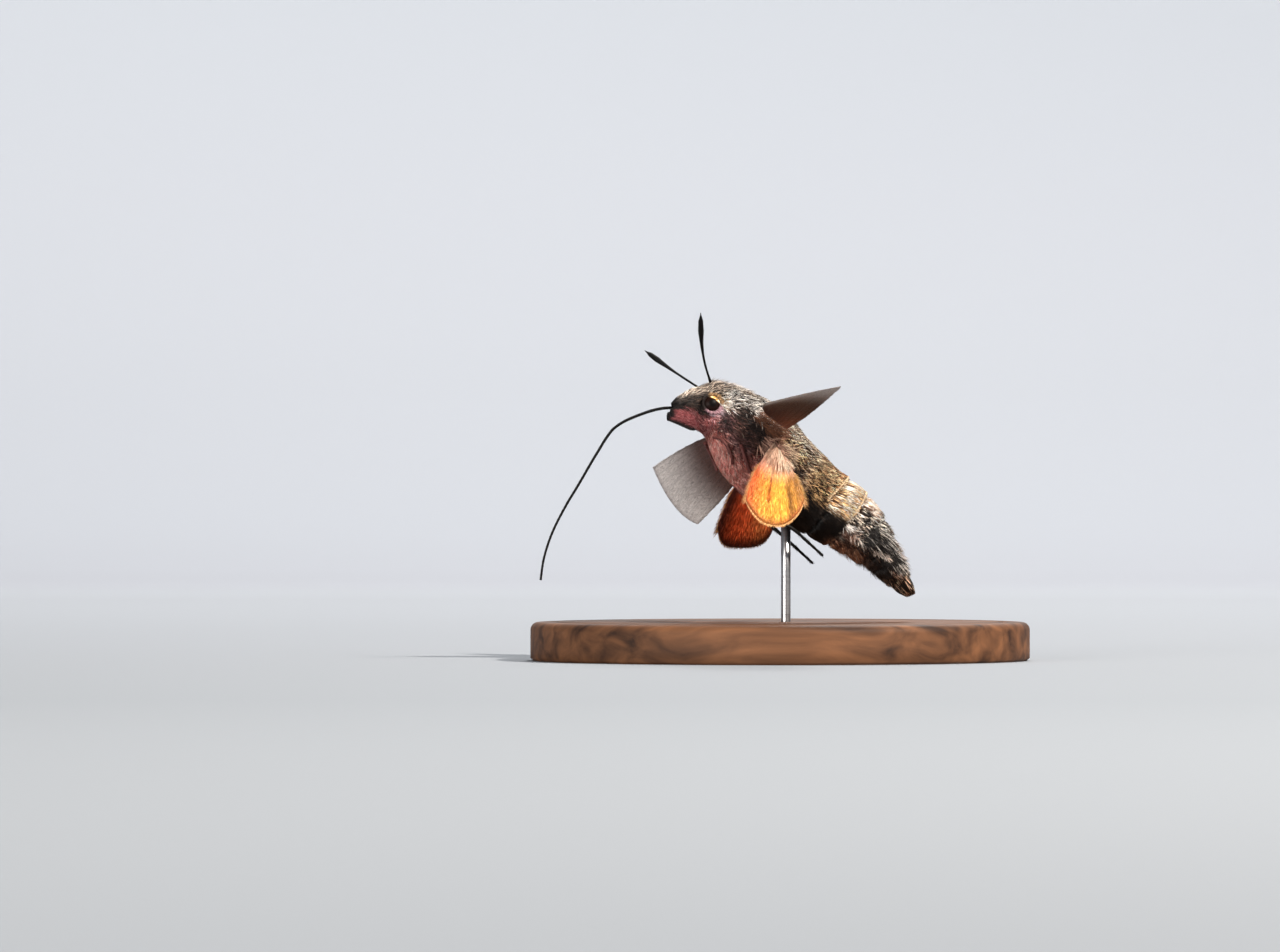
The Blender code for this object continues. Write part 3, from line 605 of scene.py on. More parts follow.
def sheet(upper, lower):
    """A thin vane: one grid above, one below, and a wall round their rim."""
    rows, columns = upper.shape[:2]
    points = np.concatenate([upper.reshape(-1, 3), lower.reshape(-1, 3)])
    below = rows * columns
    row, column = np.meshgrid(np.arange(rows - 1), np.arange(columns - 1), indexing="ij")
    here = (row * columns + column).ravel()
    top = np.concatenate([np.stack([here, here + 1, here + columns + 1], axis=1),
                          np.stack([here, here + columns + 1, here + columns], axis=1)])
    rim = np.concatenate([np.arange(rows) * columns, (rows - 1) * columns + np.arange(1, columns),
                          np.arange(rows - 2, -1, -1) * columns + columns - 1,
                          np.arange(columns - 2, 0, -1)])
    after = np.roll(rim, -1)
    wall = np.concatenate([np.stack([rim, after, after + below], axis=1),
                           np.stack([rim, after + below, rim + below], axis=1)])
    return points, outward_facing(points, np.concatenate([top, top[:, ::-1] + below, wall]))


# %% [markdown]
# ## Tufts as blades
# A hair or scale of the coat is far thinner than it is long. Curves or particles would draw
# it, but only a closed mesh is exported as it looks, so each is a blade with three sides, and
# one formula makes thousands of them at once.

# %% Tufts as blades
PATCH = 0.003
BLADE_RIDGE = 0.7
# Blades are painted darker at the root, as painted shade deep in the coat, and lighter at the tip,
# as painted light at its outside.
ROOT_PAINTED_SHADE, TIP_PAINTED_LIGHT = 0.5, 1.12


def blades(paths, outward, half_widths):
    """Three-sided blades along many paths: a ridge, two edges, a cap at the root and a point.

    Each ring has its corners at +width aside, BLADE_RIDGE widths outward and -width aside.
    """
    count, rings = paths.shape[:2]
    along = unit(np.gradient(paths, axis=1))
    aside = unit(np.cross(along, outward))
    width = half_widths[..., None]
    corners = np.stack([paths + aside * width, paths + outward * width * BLADE_RIDGE,
                        paths - aside * width], axis=2)[:, :-1]
    points = np.concatenate([corners.reshape(count, -1, 3), paths[:, -1:]], axis=1)
    each = points.shape[1]
    faces = [(0, 1, 2)]
    for ring in range(rings - 2):
        for side in range(3):
            a, b = ring * 3 + side, ring * 3 + (side + 1) % 3
            faces += [(a, a + 3, b + 3), (a, b + 3, b)]
    first = (rings - 2) * 3
    faces += [(first + side, each - 1, first + (side + 1) % 3) for side in range(3)]
    triangles = np.array(faces)[None] + (np.arange(count) * each)[:, None, None]
    return points.reshape(-1, 3), triangles.reshape(-1, 3)


def blade_map(spots, rings):
    """Each blade's patch of the map: PATCH across, its middle at the root's place."""
    along = np.repeat(np.arange(rings - 1) / (rings - 1), 3) - 0.5
    aside = np.tile([0.5, 0.0, -0.5], rings - 1)
    local = np.stack([np.append(along, 0.5), np.append(aside, 0.0)], axis=1) * PATCH
    return (np.clip(spots, PATCH, 1 - PATCH)[:, None] + local[None]).reshape(-1, 2)


def blade_colours(colours, rings, root):
    """Each blade's colour, with painted shade at its root and painted light at its tip."""
    shade = np.append(np.repeat(np.linspace(root, 1.0, rings - 1), 3), TIP_PAINTED_LIGHT)
    return (colours[:, None] * shade[None, :, None]).reshape(-1, 3)


def coat(name, paths, outward, half_widths, colours, spots, slot, root=ROOT_PAINTED_SHADE):
    """A piece of coat: blades with their colours and their places in the map."""
    rings = paths.shape[1]
    points, triangles = blades(paths, outward, half_widths)
    piece = solid(name, points, triangles, slot, (), blade_colours(colours, rings, root),
                  blade_map(spots, rings))
    piece.data.materials.append(FUR)
    print(f"{name}: {len(paths)} tufts, {len(triangles)} triangles")


def piled(batches):
    """Batches of the same few arrays, each kind joined end to end."""
    return [np.concatenate(column) for column in zip(*batches)]


def on_map(across, angle):
    """Places in the map: the first number as it is, and the angle as a part of a turn."""
    return np.stack([across, (angle / (2 * math.pi)) % 1], axis=1)


# %% [markdown]
# ## Materials
# Hair and scales on a moth are dull and dry, and eyes and claws are smoother. A picture could
# carry their colours, but each tuft has its own, so one material takes the colour painted on
# the mesh and mottles it with solid noise in the piece's own space.

# %% Materials


def painted(name, roughness, mottle, size, specular, bump=0.0):
    """A material that takes the painted colour, times noise, with an optional fine bump."""
    material, tree, shader = new_finish(
        name, {"Roughness": roughness, "Specular IOR Level": specular})
    colour = add_node(tree, "Attribute")
    colour.attribute_name = "coat"
    place = add_node(tree, "TexCoord").outputs["Object"]
    noise = add_node(tree, "TexNoise", {"Scale": size, "Detail": 3.0}, {"Vector": place})
    span = add_node(tree, "MapRange", {"From Min": 0.3, "From Max": 0.7, "To Min": 1.0 - mottle,
                                       "To Max": 1.0 + mottle}, {"Value": noise.outputs["Fac"]})
    tint = add_node(tree, "VectorMath")
    tint.operation = "SCALE"
    tree.links.new(colour.outputs["Color"], tint.inputs[0])
    tree.links.new(span.outputs["Result"], tint.inputs["Scale"])
    tree.links.new(tint.outputs["Vector"], shader.inputs["Base Color"])
    if bump:
        fine = add_node(tree, "TexNoise", {"Scale": size * 4}, {"Vector": place})
        add_relief(tree, shader, fine.outputs["Fac"], bump, 0.05 * MM)
    return material


FUR = painted("fur", 0.44, 0.15, 1400.0, 0.34)
SKIN = painted("skin", 0.9, 0.35, 2500.0, 0.1, bump=0.9)
MEMBRANE = painted("wing_scales", 0.6, 0.16, 5200.0, 0.3, bump=0.5)
HORN = painted("black_horn", 0.45, 0.2, 3000.0, 0.1, bump=0.35)
print("materials:", ", ".join(one.name for one in (FUR, SKIN, MEMBRANE, HORN)))

# %% [markdown]
# ## The skin
# One closed skin carries the head, thorax, abdomen and palps. On the real moth it is hard
# and hidden under the coat. It could be sculpted, but the body's own formula already gives
# it: the same surface, a coat's depth further in, with the abdomen's rings stepped on it.

# %% The skin
SEGMENT_STEP = 0.16 * MM
COAT_DEPTH = ((0.0, 1.0, 2.5, 4.3, 6.0, 9.0, 11.4, 15.3, 16.5, 18.0),
              (0.12, 0.22, 0.30, 0.40, 0.45, 0.38, 0.32, 0.36, 0.34, 0.10))
SKIN_END = 17.1
# The skin and the palps' skin take their colours at about half, as painted shade under the coat.
SKIN_ROWS, SKIN_SIDES, SKIN_PAINTED_SHADE = 220, 132, 0.45
PALP_ROWS, PALP_SIDES, PALP_PAINTED_SHADE = 24, 32, 0.5
PALP_STATIONS = np.array([
    (-8.35, 24.72, 0.45, 0.40),
    (-9.00, 24.95, 0.80, 0.62),
    (-9.90, 25.33, 0.82, 0.66),
    (-10.85, 25.58, 0.66, 0.54),
    (-11.58, 25.60, 0.40, 0.32),
])
PALP_ASIDE = 0.84 * MM
PALP_COAT = 0.16 * MM


def coat_depth(place):
    """How deep the coat lies at each station, read from the short table."""
    return np.interp(place, *COAT_DEPTH) * MM


def segment_lift(place, angle):
    """Each ring of the abdomen swells in a straight line from its front edge to its rear."""
    edges = np.array(SEGMENT_EDGES)
    place = place - ring_lean(place, angle)
    ring = np.clip(np.searchsorted(edges, place, side="left") - 1, 0, len(edges) - 2)
    part = (place - edges[ring]) / (edges[ring + 1] - edges[ring])
    inside = (place > edges[0]) & (place <= edges[-1])
    return np.where(inside, SEGMENT_STEP * part, 0.0)


def palp_surface(side, part, angle, lift=0.0):
    """A palp's surface: part 0 at its root to 1 at its tip, angle 90 degrees on top."""
    row = smooth_between(PALP_STATIONS, part * (len(PALP_STATIONS) - 1)) * MM
    left = body_axes(2.0)[0][0]
    sign = 1.0 if side == "left" else -1.0
    centre = np.stack([row[:, 0], BODY_YAW * (row[:, 0] - BODY_MIDDLE_X), row[:, 1]], axis=1)
    centre = centre + sign * PALP_ASIDE * left
    aside = ((row[:, 3] + lift) * np.cos(angle))[:, None] * left
    above = ((row[:, 2] + lift) * np.sin(angle))[:, None] * np.array((0.0, 0.0, 1.0))
    return centre + aside + above


def palp_colours(side, part, angle, draw=0.5):
    """Palps: rose on the side, brown-black above and at the tip; the far one is dark below too, as
    painted shade.
    """
    rose, pale, black = linear(134, 66, 68), linear(172, 104, 104), linear(24, 19, 18)
    colour = np.where((draw + np.zeros(len(part)) < 0.25)[:, None], pale, rose)
    top = np.maximum(step_between(0.20, 0.55, np.sin(angle)), step_between(0.70, 0.82, part))
    # Painted shade: the far palp is darkened below as well.
    if side == "right":
        top = np.maximum(top, step_between(0.55, 0.85, -np.sin(angle)))
    return colour + top[:, None] * (black - colour)


def round_grid(last, rows, sides):
    """Every place from 0 to the last and every angle of a grid round a tube."""
    place, angle = np.meshgrid(np.linspace(0.0, last, rows),
                               np.linspace(0, 2 * math.pi, sides, endpoint=False), indexing="ij")
    return place.ravel(), angle.ravel()


place, angle = round_grid(SKIN_END, SKIN_ROWS, SKIN_SIDES)
wall = body_surface(place, angle, segment_lift(place, angle) - coat_depth(place))
skin_parts = [tube(wall.reshape(SKIN_ROWS, SKIN_SIDES, 3))]
skin_colours = [region_colours(place, angle)[:, 0] * SKIN_PAINTED_SHADE,
                region_colours(np.array([0.0, SKIN_END]), np.zeros(2))[:, 0] * SKIN_PAINTED_SHADE]
for side in SIDES:
    part, turn = round_grid(1.0, PALP_ROWS, PALP_SIDES)
    palp = palp_surface(side, part, turn, -PALP_COAT)
    skin_parts.append(tube(palp.reshape(PALP_ROWS, PALP_SIDES, 3)))
    skin_colours += [palp_colours(side, part, turn) * PALP_PAINTED_SHADE,
                     palp_colours(side, np.array([0.0, 1.0]), np.zeros(2)) * PALP_PAINTED_SHADE]
skin = solid("skin", *joined(skin_parts), "agouti_fur",
             ("head", "thorax", "abdomen_front", "abdomen_mid", "abdomen_rear", "tail_brush",
              "palp_left", "palp_right"), np.concatenate(skin_colours))
skin.data.materials.append(SKIN)
print("skin triangles:", len(skin.data.polygons))

# %% [markdown]
# ## Eyes
# The eyes are large, dark, many-sided balls, sunk deep into the head. Each facet could be
# modelled, but at this size a plain ball with a fine bump is enough. Its paint is near black
# in the middle, with a brown glow round that, and along the upper rear rim gold flecks of
# painted reflection from the main lamp.

# %% Eyes
EYE_ROWS, EYE_SIDES = 50, 64
EYE_BLACK, EYE_GLOW = linear(8, 6, 6), linear(22, 11, 8)
# The gold flecks are a painted reflection of the main lamp, on the eye's upper rear side.
REFLECTION_LIGHT, REFLECTION_GOLD, REFLECTION_DARK = linear(255, 236, 196), linear(206, 142, 62), linear(66, 40, 20)
REFLECTION_SIDE = (0.55, 0.0, 0.83)


def eye_centre(side):
    """The middle of an eye: a fixed depth below the coat's outside."""
    return body_spot(EYE_STATION, on_side(side, EYE_ANGLE), -EYE_SINK)


def eye_axis(side):
    """The way an eye looks: from the body's line to its middle."""
    return unit(eye_centre(side) - body_line(EYE_STATION)[0][0])


def facet_material():
    """Dark brown horn with a bump of tiny round cells."""
    material = painted("eye_facets", 0.42, 0.1, 900.0, 0.06)
    tree = material.node_tree
    cells = add_node(tree, "TexVoronoi", {"Scale": 9000.0},
                     {"Vector": tree.nodes["Texture Coordinate"].outputs["Object"]})
    add_relief(tree, tree.nodes["Principled BSDF"], cells.outputs["Distance"], 0.25, 0.02 * MM)
    return material


def eye_paint(points, centre, outward):
    """Colours by how far a point faces outward, and a painted reflection on the upper rear side.
    """
    facing = (points - centre) @ outward / EYE_RADIUS
    spoke = unit(points - centre) - facing[:, None] * outward
    glow = step_between(0.955, 0.90, facing)[:, None]
    reflection = step_between(0.32, 0.5, spoke @ unit(REFLECTION_SIDE)) * step_between(0.92, 0.88, facing)
    fleck = tail_digits(np.arange(len(points)) // 3 * 12.9898)[:, None]
    sparkle = np.where(fleck > 0.6, REFLECTION_LIGHT, np.where(fleck > 0.2, REFLECTION_GOLD, REFLECTION_DARK))
    colours = EYE_BLACK * (1 - glow) + EYE_GLOW * glow
    return colours + reflection[:, None] * (sparkle - colours)


facets = facet_material()
latitude, longitude = np.meshgrid(np.linspace(0, math.pi, EYE_ROWS)[1:-1],
                                  np.linspace(0, 2 * math.pi, EYE_SIDES, endpoint=False),
                                  indexing="ij")
ball = np.stack([np.sin(latitude) * np.cos(longitude), np.sin(latitude) * np.sin(longitude),
                 np.cos(latitude)], axis=-1)
for side in SIDES:
    centre = eye_centre(side)
    points, triangles = tube(centre + EYE_RADIUS * ball)
    points[-2:] = centre + EYE_RADIUS * np.array([(0, 0, 1), (0, 0, -1)])
    eye = solid(f"eye_ball_{side}", points, triangles, "eye_brown", (f"eye_{side}",),
                eye_paint(points, centre, eye_axis(side)))
    eye.data.materials.append(facets)
print(f"eyes {2 * EYE_RADIUS / MM:.2f} mm across")

# %% [markdown]
# ## Roots and paths
# Each scale of the coat is rooted in the skin and leans back along the body. Roots drawn at
# random would lie in knots and gaps, so an even sequence spreads them, and each path is laid
# on the body's own formula, a little above the skin at its root and in the open at its tip.

# %% Roots and paths
PLASTIC = 1.32471795724474602596


def even_scatter(count, rng):
    """Points spread evenly over a square: multiples of the plastic number's powers, mod 1."""
    index = np.arange(count)[:, None]
    return (rng.random(2) + index * np.array([1 / PLASTIC, 1 / PLASTIC ** 2])) % 1.0


def roots_on_body(first, last, per_mm2, rng):
    """Stations and angles of roots, as many to a square millimetre everywhere."""
    places = np.linspace(first, last, 400)
    centre, depth, width = body_line(places)
    steps = np.linalg.norm(np.diff(centre, axis=0), axis=1)
    girth = math.pi * (depth + width)
    area = np.concatenate([[0.0], np.cumsum(steps * (girth[1:] + girth[:-1]) / 2)])
    spots = even_scatter(int(area[-1] / MM ** 2 * per_mm2), rng)
    place = np.interp(spots[:, 0] * area[-1], area, places)
    return place, spots[:, 1] * 2 * math.pi, spots


def station_step(place):
    """How many stations there are to a metre along the body."""
    here = body_line(np.clip(place - 0.05, 0, TAIL_TIP))[0]
    there = body_line(np.clip(place + 0.05, 0, TAIL_TIP))[0]
    return 0.1 / np.linalg.norm(there - here, axis=1)


def ring_end(place, angle, rng):
    """The rear edge of the abdomen's ring that each spot lies on, a little ragged."""
    edges = np.array(SEGMENT_EDGES)
    lean = ring_lean(place, angle)
    ring = np.clip(np.searchsorted(edges, place - lean, side="left"), 1, len(edges) - 1)
    ragged = rng.uniform(-0.02, 0.05, len(place))
    on_ring = (place - lean > edges[0] + 0.6) & (place - lean <= edges[-2])
    return np.where(on_ring, edges[ring] + lean + ragged, TAIL_TIP - 0.02)


def body_paths(place, angle, length, rings, sway, rise, end=None):
    """Paths that leave the skin and lie back along the body.

    The lift goes from just under the skin to the outside of the coat plus the rise, as the
    path's part to the power 0.7, and the angle drifts by the sway.
    """
    part = np.linspace(0.0, 1.0, rings)[None]
    reach = length * station_step(place)
    if end is not None:
        reach = np.clip(end - place, 0.12, np.maximum(reach, 0.12))
    stations = np.clip(place[:, None] + part * reach[:, None], 0.0, TAIL_TIP - 0.02)
    angles = angle[:, None] + part * sway[:, None]
    start = -coat_depth(place)[:, None] * 1.2
    lift = start + (rise[:, None] - start) * part ** 0.7 + segment_lift(stations, angles)
    depth = body_line(stations.ravel())[1].reshape(stations.shape)
    return laid_on_body(stations, angles, np.maximum(lift, -0.8 * depth))


def clear_of_eyes(paths, margin=1.03):
    """Which blades keep all their points outside both eyes."""
    keep = np.ones(len(paths), bool)
    for side in SIDES:
        apart = np.linalg.norm(paths - eye_centre(side), axis=2).min(axis=1)
        keep &= apart > EYE_RADIUS * margin
    return keep


def taper(rings, widths):
    """Half widths along a blade: a narrow root, full at a third, then down to the point."""
    part = np.linspace(0.0, 1.0, rings)
    root, full = 0.75, 0.34
    shape = np.where(part < full, root + (1 - root) * part / full,
                     1 - ((part - full) / (1 - full)) ** 1.6)
    return widths[:, None] * np.maximum(shape, 0.02)[None]


def even_taper(paths, width):
    """The same half width in millimetres for every blade, tapered."""
    return taper(paths.shape[1], np.full(len(paths), width * MM))


def clump(place, angle):
    """Slow light and dark drifts of the coat: a product of warped sines, from -1 to 1."""
    across = angle + 0.3 * np.sin(place * 3.1)
    return (np.sin(place * 9.0 + 2.2 * np.sin(across * 9))
            * np.sin(across * 17 + 1.7 * np.sin(place * 7)))


# %% [markdown]
# ## The coat
# A moth's coat is made of long narrow scales that overlap like thatch and point back. Hair
# particles would give single threads, but a coat that is exported has to be solid, so each
# scale or small sheaf of them is a flat three-sided blade that leaves the skin, bends over
# and ends at the outside of the solid. They are short on the face, longer on the thorax and
# longest on the breast, and each takes its colour from the markings.

# %% The coat
# Name, first and last station, tufts to a square millimetre, shortest and longest in mm,
# half width in mm, rise of the tips in mm, slot.
COATS = (
    ("coat_head", 0.05, 4.4, 165, 0.40, 0.75, 0.044, 0.09, "agouti_fur"),
    ("coat_thorax_front", 4.2, 6.8, 90, 0.75, 1.25, 0.054, 0.14, "agouti_fur"),
    ("coat_thorax_rear", 6.6, 9.2, 86, 0.75, 1.25, 0.056, 0.12, "agouti_fur"),
    ("coat_abdomen_front", 9.0, 10.3, 120, 0.90, 1.50, 0.050, 0.06, "banded_fur"),
    ("coat_abdomen_band", 10.3, 11.4, 120, 0.90, 1.60, 0.046, 0.04, "banded_fur"),
    ("coat_abdomen_mid", 11.4, 13.4, 100, 0.70, 1.20, 0.054, 0.16, "banded_fur"),
    ("coat_abdomen_rear", 13.4, 15.5, 100, 0.70, 1.20, 0.056, 0.18, "black_fur"),
)
COAT_RINGS = 3
NEAT_STATIONS = (9.5, 11.6)
SWAYS = {"front": 0.13, "neat": 0.05, "rear": 0.14}
BRICK_SHARE, DRIFT, TONE_SPREAD = 0.72, 0.10, 0.26


def thatch(name, first, last, per_mm2, short, long, width, rise, slot, rng):
    """One stretch of coat: roots, lengths, sways, rises and colours are drawn in turn."""
    place, angle, spots = roots_on_body(first, last, per_mm2, rng)
    count = len(place)
    length = (short + (long - short) * rng.random(count)) * MM
    spread = np.where(place < NEAT_STATIONS[0], SWAYS["front"],
                      np.where(place < NEAT_STATIONS[1], SWAYS["neat"], SWAYS["rear"]))
    sway = rng.normal(0.0, 1.0, count) * spread
    raised = rng.random(count) ** 2 * rise * MM
    paths, outward = body_paths(place, angle, length, COAT_RINGS, sway, raised,
                                ring_end(place, angle, rng))
    brick = speckle(place + rng.normal(0, 0.02, count), angle + rng.normal(0, 0.012, count))
    draw = np.where(rng.random(count) < BRICK_SHARE, brick, rng.random(count))
    draw = np.clip(draw - DRIFT * clump(place, angle), 0, 1)
    tone = flecked(place, angle, draw) * np.exp(rng.normal(0, TONE_SPREAD, count))[:, None]
    widths = taper(COAT_RINGS, width * MM * rng.uniform(0.6, 1.4, count))
    keep = clear_of_eyes(paths)
    coat(name, paths[keep], outward[keep], widths[keep], tone[keep], spots[keep], slot)


for seed, row in enumerate(COATS):
    thatch(*row, np.random.default_rng(100 + seed))

# %% [markdown]
# ## Ring edges and eye rims
# Two of the abdomen's rings end in a thin line of pale scales, and each eye sits in a rim of
# short hair: dark in front, lilac below, and above and behind gold painted light. Painted
# lines would look flat from the side, so both are single rows of blades, laid along the
# ring's leaning edge and round the eye's own axis.

# %% Ring edges and eye rims
EDGE_SCALES, EDGE_WIDTH = 1500, 0.03
EDGE_LINE = linear(244, 214, 176)
RIM_HAIRS, RIM_WIDTH = 700, 0.026
# The gold on the rim's upper rear side is painted light from the main lamp's side.
RIM_DARK, RIM_LILAC, RIM_HAIR_LIT_GOLD = linear(34, 25, 22), linear(160, 124, 132), linear(132, 104, 74)


def ring_edges(rng):
    """Short pale blades that end on the ring's edge and rise to a little above the coat."""
    angle = rng.uniform(-0.15, math.pi + 0.15, EDGE_SCALES)
    edge = rng.choice(PALE_EDGES, EDGE_SCALES)
    edge = edge + ring_lean(edge, angle)
    length = rng.uniform(0.14, 0.24, EDGE_SCALES) * MM
    start = edge - length * station_step(edge)
    edge = edge + rng.uniform(-0.01, 0.03, EDGE_SCALES)
    stations = start[:, None] + np.linspace(0, 1, 3)[None] * (edge - start)[:, None]
    lift = np.array([0.0, 0.12, 0.18]) * MM + 0.03 * MM * rng.random(EDGE_SCALES)[:, None]
    paths, outward = laid_on_body(stations, np.repeat(angle, 3), lift)
    tone = EDGE_LINE * rng.uniform(0.35, 1.0, (EDGE_SCALES, 1))
    return paths, outward, tone, on_map((start - 10) / 1.6, angle)


def eye_rim_hair(side, rng):
    """Blades that leave the ball at its rim and lean out over the coat, round the eye's axis."""
    axis = eye_axis(side)
    first = unit(np.cross(axis, (0.0, 0.0, 1.0)))
    second = np.cross(axis, first)
    turn = rng.uniform(0, 2 * math.pi, RIM_HAIRS)
    spoke = np.cos(turn)[:, None] * first + np.sin(turn)[:, None] * second
    part = np.linspace(0, 1, 4)[None, :, None]
    far = rng.uniform(0.22, 0.50, RIM_HAIRS)[:, None, None]
    high = rng.uniform(-0.04, 0.05, RIM_HAIRS)[:, None, None]
    away = (0.74 + far * part) * spoke[:, None]
    above = (0.62 + (0.13 + high) * np.sin(math.pi * part * 0.8)) * axis
    back = part ** 2 * 0.12 * np.array((1.0, 0.0, -0.3))
    points = eye_centre(side) + EYE_RADIUS * (away + above + back)
    below = step_between(0.15, 0.6, spoke @ unit((0.35, 0.0, -0.95)))[:, None]
    # Above and behind the eye the hair takes gold painted light.
    behind = step_between(0.25, 0.6, spoke @ unit((0.62, 0.0, 0.78)))[:, None]
    tone = RIM_DARK + below * (RIM_LILAC - RIM_DARK)
    tone = tone + behind * (RIM_HAIR_LIT_GOLD - tone)
    tone = tone * np.exp(rng.normal(0, 0.5, (RIM_HAIRS, 1)))
    spots = np.stack([0.3 + 0.1 * np.cos(turn) + (0.4 if side == "right" else 0.0),
                      0.5 + 0.1 * np.sin(turn)], axis=1)
    return points, np.tile(axis, (RIM_HAIRS, 4, 1)), tone, spots


rng = np.random.default_rng(150)
paths, outward, tone, spots = ring_edges(rng)
coat("coat_ring_edges", paths, outward, even_taper(paths, EDGE_WIDTH), tone, spots,
     "banded_fur")
paths, outward, tone, spots = piled([eye_rim_hair(side, rng) for side in SIDES])
coat("coat_eye_rims", paths, outward, even_taper(paths, RIM_WIDTH), tone, spots, "agouti_fur")

# %% [markdown]
# ## Crest and breast
# Behind the feelers a low crest of longer scales breaks the outline, and the breast has the
# longest hair. Both could be modelled as lumps, but their edges are what shows, so they are
# blades as well, longer and more loosely laid than the coat under them.

# %% Crest and breast


def loose_paths(place, angle, lengths, rings, sway, rises, rng):
    """Paths of loose hair: the lengths, sways and rises are drawn in turn."""
    count = len(place)
    length = rng.uniform(*lengths, count) * MM
    drift = rng.normal(0, sway, count)
    return body_paths(place, angle, length, rings, drift, rng.uniform(*rises, count) * MM)


rng = np.random.default_rng(200)
CREST_TUFTS, BREAST_TUFTS = 900, 4200
place = rng.uniform(1.9, 4.6, CREST_TUFTS)
angle = np.radians(rng.normal(92, 24, CREST_TUFTS))
paths, outward = loose_paths(place, angle, (0.7, 1.3), 5, 0.12, (0.03, 0.36), rng)
colours = flecked(place, angle, rng.random(CREST_TUFTS))
keep = clear_of_eyes(paths)
coat("coat_crest", paths[keep], outward[keep], even_taper(paths[keep], 0.045), colours[keep],
     on_map((place - 2.0) / 3.2, angle)[keep], "agouti_fur")

place = rng.uniform(4.4, 9.3, BREAST_TUFTS)
angle = np.radians(rng.uniform(-128, 0, BREAST_TUFTS) - 26)
paths, outward = loose_paths(place, angle, (1.1, 2.0), 4, 0.14, (0.0, 0.16), rng)
coat("coat_breast", paths, outward, even_taper(paths, 0.042),
     flecked(place, angle, rng.random(BREAST_TUFTS) * 0.7), on_map((place - 4.0) / 6.0, angle),
     "rose_fur")

# %% [markdown]
# ## Loose hair
# Single hairs stand off a live moth's back, belly and tail, and small white ones draw the
# line along its rear. A share of the coat could be lifted everywhere, but they show at a few
# places only, so a short table lays them patch by patch.

# %% Loose hair
# Station, its spread; angle, its spread; how many; shortest, longest, rise in mm; whether
# the right side has the same; colour, or none for the markings' own.
LOOSE_HAIR = (
    (14.2, 0.55, 62, 26, 90, 0.8, 1.4, 0.75, False, (150, 132, 118)),
    (12.9, 0.60, 88, 30, 60, 0.7, 1.2, 0.45, False, (120, 104, 92)),
    (12.3, 0.22, -84, 22, 150, 0.8, 1.3, 0.55, False, (120, 84, 62)),
    (13.2, 0.20, -88, 20, 120, 0.7, 1.2, 0.50, False, (84, 60, 46)),
    (11.5, 0.35, -86, 24, 90, 0.6, 1.0, 0.32, False, (40, 30, 26)),
    (11.38, 0.08, -27, 2, 30, 0.7, 1.1, 0.50, True, (250, 244, 238)),
    (12.15, 0.22, -36, 1.4, 26, 0.5, 0.9, 0.60, True, (226, 208, 194)),
    (12.95, 0.22, -28, 1.4, 26, 0.5, 0.9, 0.75, True, (226, 208, 194)),
    (13.75, 0.22, -19, 1.4, 26, 0.5, 0.9, 0.95, True, (226, 208, 194)),
    (6.5, 1.4, 88, 34, 160, 0.8, 1.3, 0.34, False, (150, 132, 118)),
    (3.3, 0.35, 88, 34, 170, 0.5, 0.95, 0.70, False, (112, 98, 86)),
    (4.15, 0.22, 6, 6, 44, 0.35, 0.6, 0.42, True, (246, 238, 230)),
    (5.3, 0.45, 22, 5, 90, 0.35, 0.6, 0.42, True, (240, 230, 220)),
    (1.2, 0.55, -40, 14, 260, 0.5, 0.9, 0.34, True, None),
)


def loose_hair(station, spread, degrees, fan, count, short, long, rise, tone, rng):
    """One patch of loose hair, scattered round its station and angle."""
    place = station + spread * rng.normal(0, 1, count).clip(-2, 2)
    angle = np.radians(rng.normal(degrees, fan, count))
    length = rng.uniform(short, long, count) * MM
    raised = rng.uniform(0.15, 1.0, count) * rise * MM
    paths, outward = body_paths(place, angle, length, 5, rng.normal(0, 0.1, count), raised)
    plain = flecked(place, angle, rng.random(count)) if tone is None else linear(*tone)
    return paths, outward, plain * rng.uniform(0.5, 1.4, (count, 1)), on_map(
        place / TAIL_TIP, angle)


patches = []
for station, spread, degrees, *numbers, mirrored, tone in LOOSE_HAIR:
    for middle in (degrees, 180 - degrees) if mirrored else (degrees,):
        patches.append(loose_hair(station, spread, middle, *numbers, tone, rng))
paths, outward, colours, spots = piled(patches)
coat("coat_loose_hair", paths, outward, even_taper(paths, 0.028), colours, spots, "black_fur")

# %% [markdown]
# ## Tail brush
# The tail ends in a flat fan of very long scales that start on the last rings and end
# together in a ragged edge. They could be combed by hand, but the body's own formula lays
# them too, out to the fan's tips.

# %% Tail brush
TAIL_SCALES, TAIL_RINGS = 3600, 5
TAIL_MARKINGS = 16.5


def tail_fan(count, rng):
    """Scales from the last rings to the tail's edge: the lift falls from skin to tip depth."""
    root = 14.9 + 2.2 * rng.random(count) ** 0.8
    angle = rng.uniform(0, 2 * math.pi, count)
    end = np.minimum(root + rng.uniform(1.6, 3.0, count), 18.0 - 0.45 * np.abs(np.cos(angle))
                     * rng.random(count) - 0.25 * rng.random(count) ** 2)
    part = np.linspace(0, 1, TAIL_RINGS)[None]
    stations = root[:, None] + part * (end - root)[:, None]
    angles = angle[:, None] + part * rng.normal(0, 0.16, count)[:, None]
    deep = rng.random(count)[:, None] ** 1.5
    start = -coat_depth(root)[:, None] * 1.2
    lift = start * (1 - part) ** 1.2 - deep * 0.35 * MM * part + 0.03 * MM * part
    depth = body_line(stations.ravel())[1].reshape(stations.shape)
    paths, outward = laid_on_body(stations, angles, np.maximum(lift, -0.85 * depth))
    colours = flecked(np.full(count, TAIL_MARKINGS), angle, 0.06 + 0.94 * rng.random(count))
    colours = colours * np.exp(rng.normal(0, 0.3, (count, 1)))
    return paths, outward, colours, on_map((root - 14.8) / 2.4, angle)


paths, outward, colours, spots = tail_fan(TAIL_SCALES, rng)
coat("coat_tail", paths, outward,
     taper(TAIL_RINGS, rng.uniform(0.045, 0.09, TAIL_SCALES) * MM), colours, spots, "black_fur")

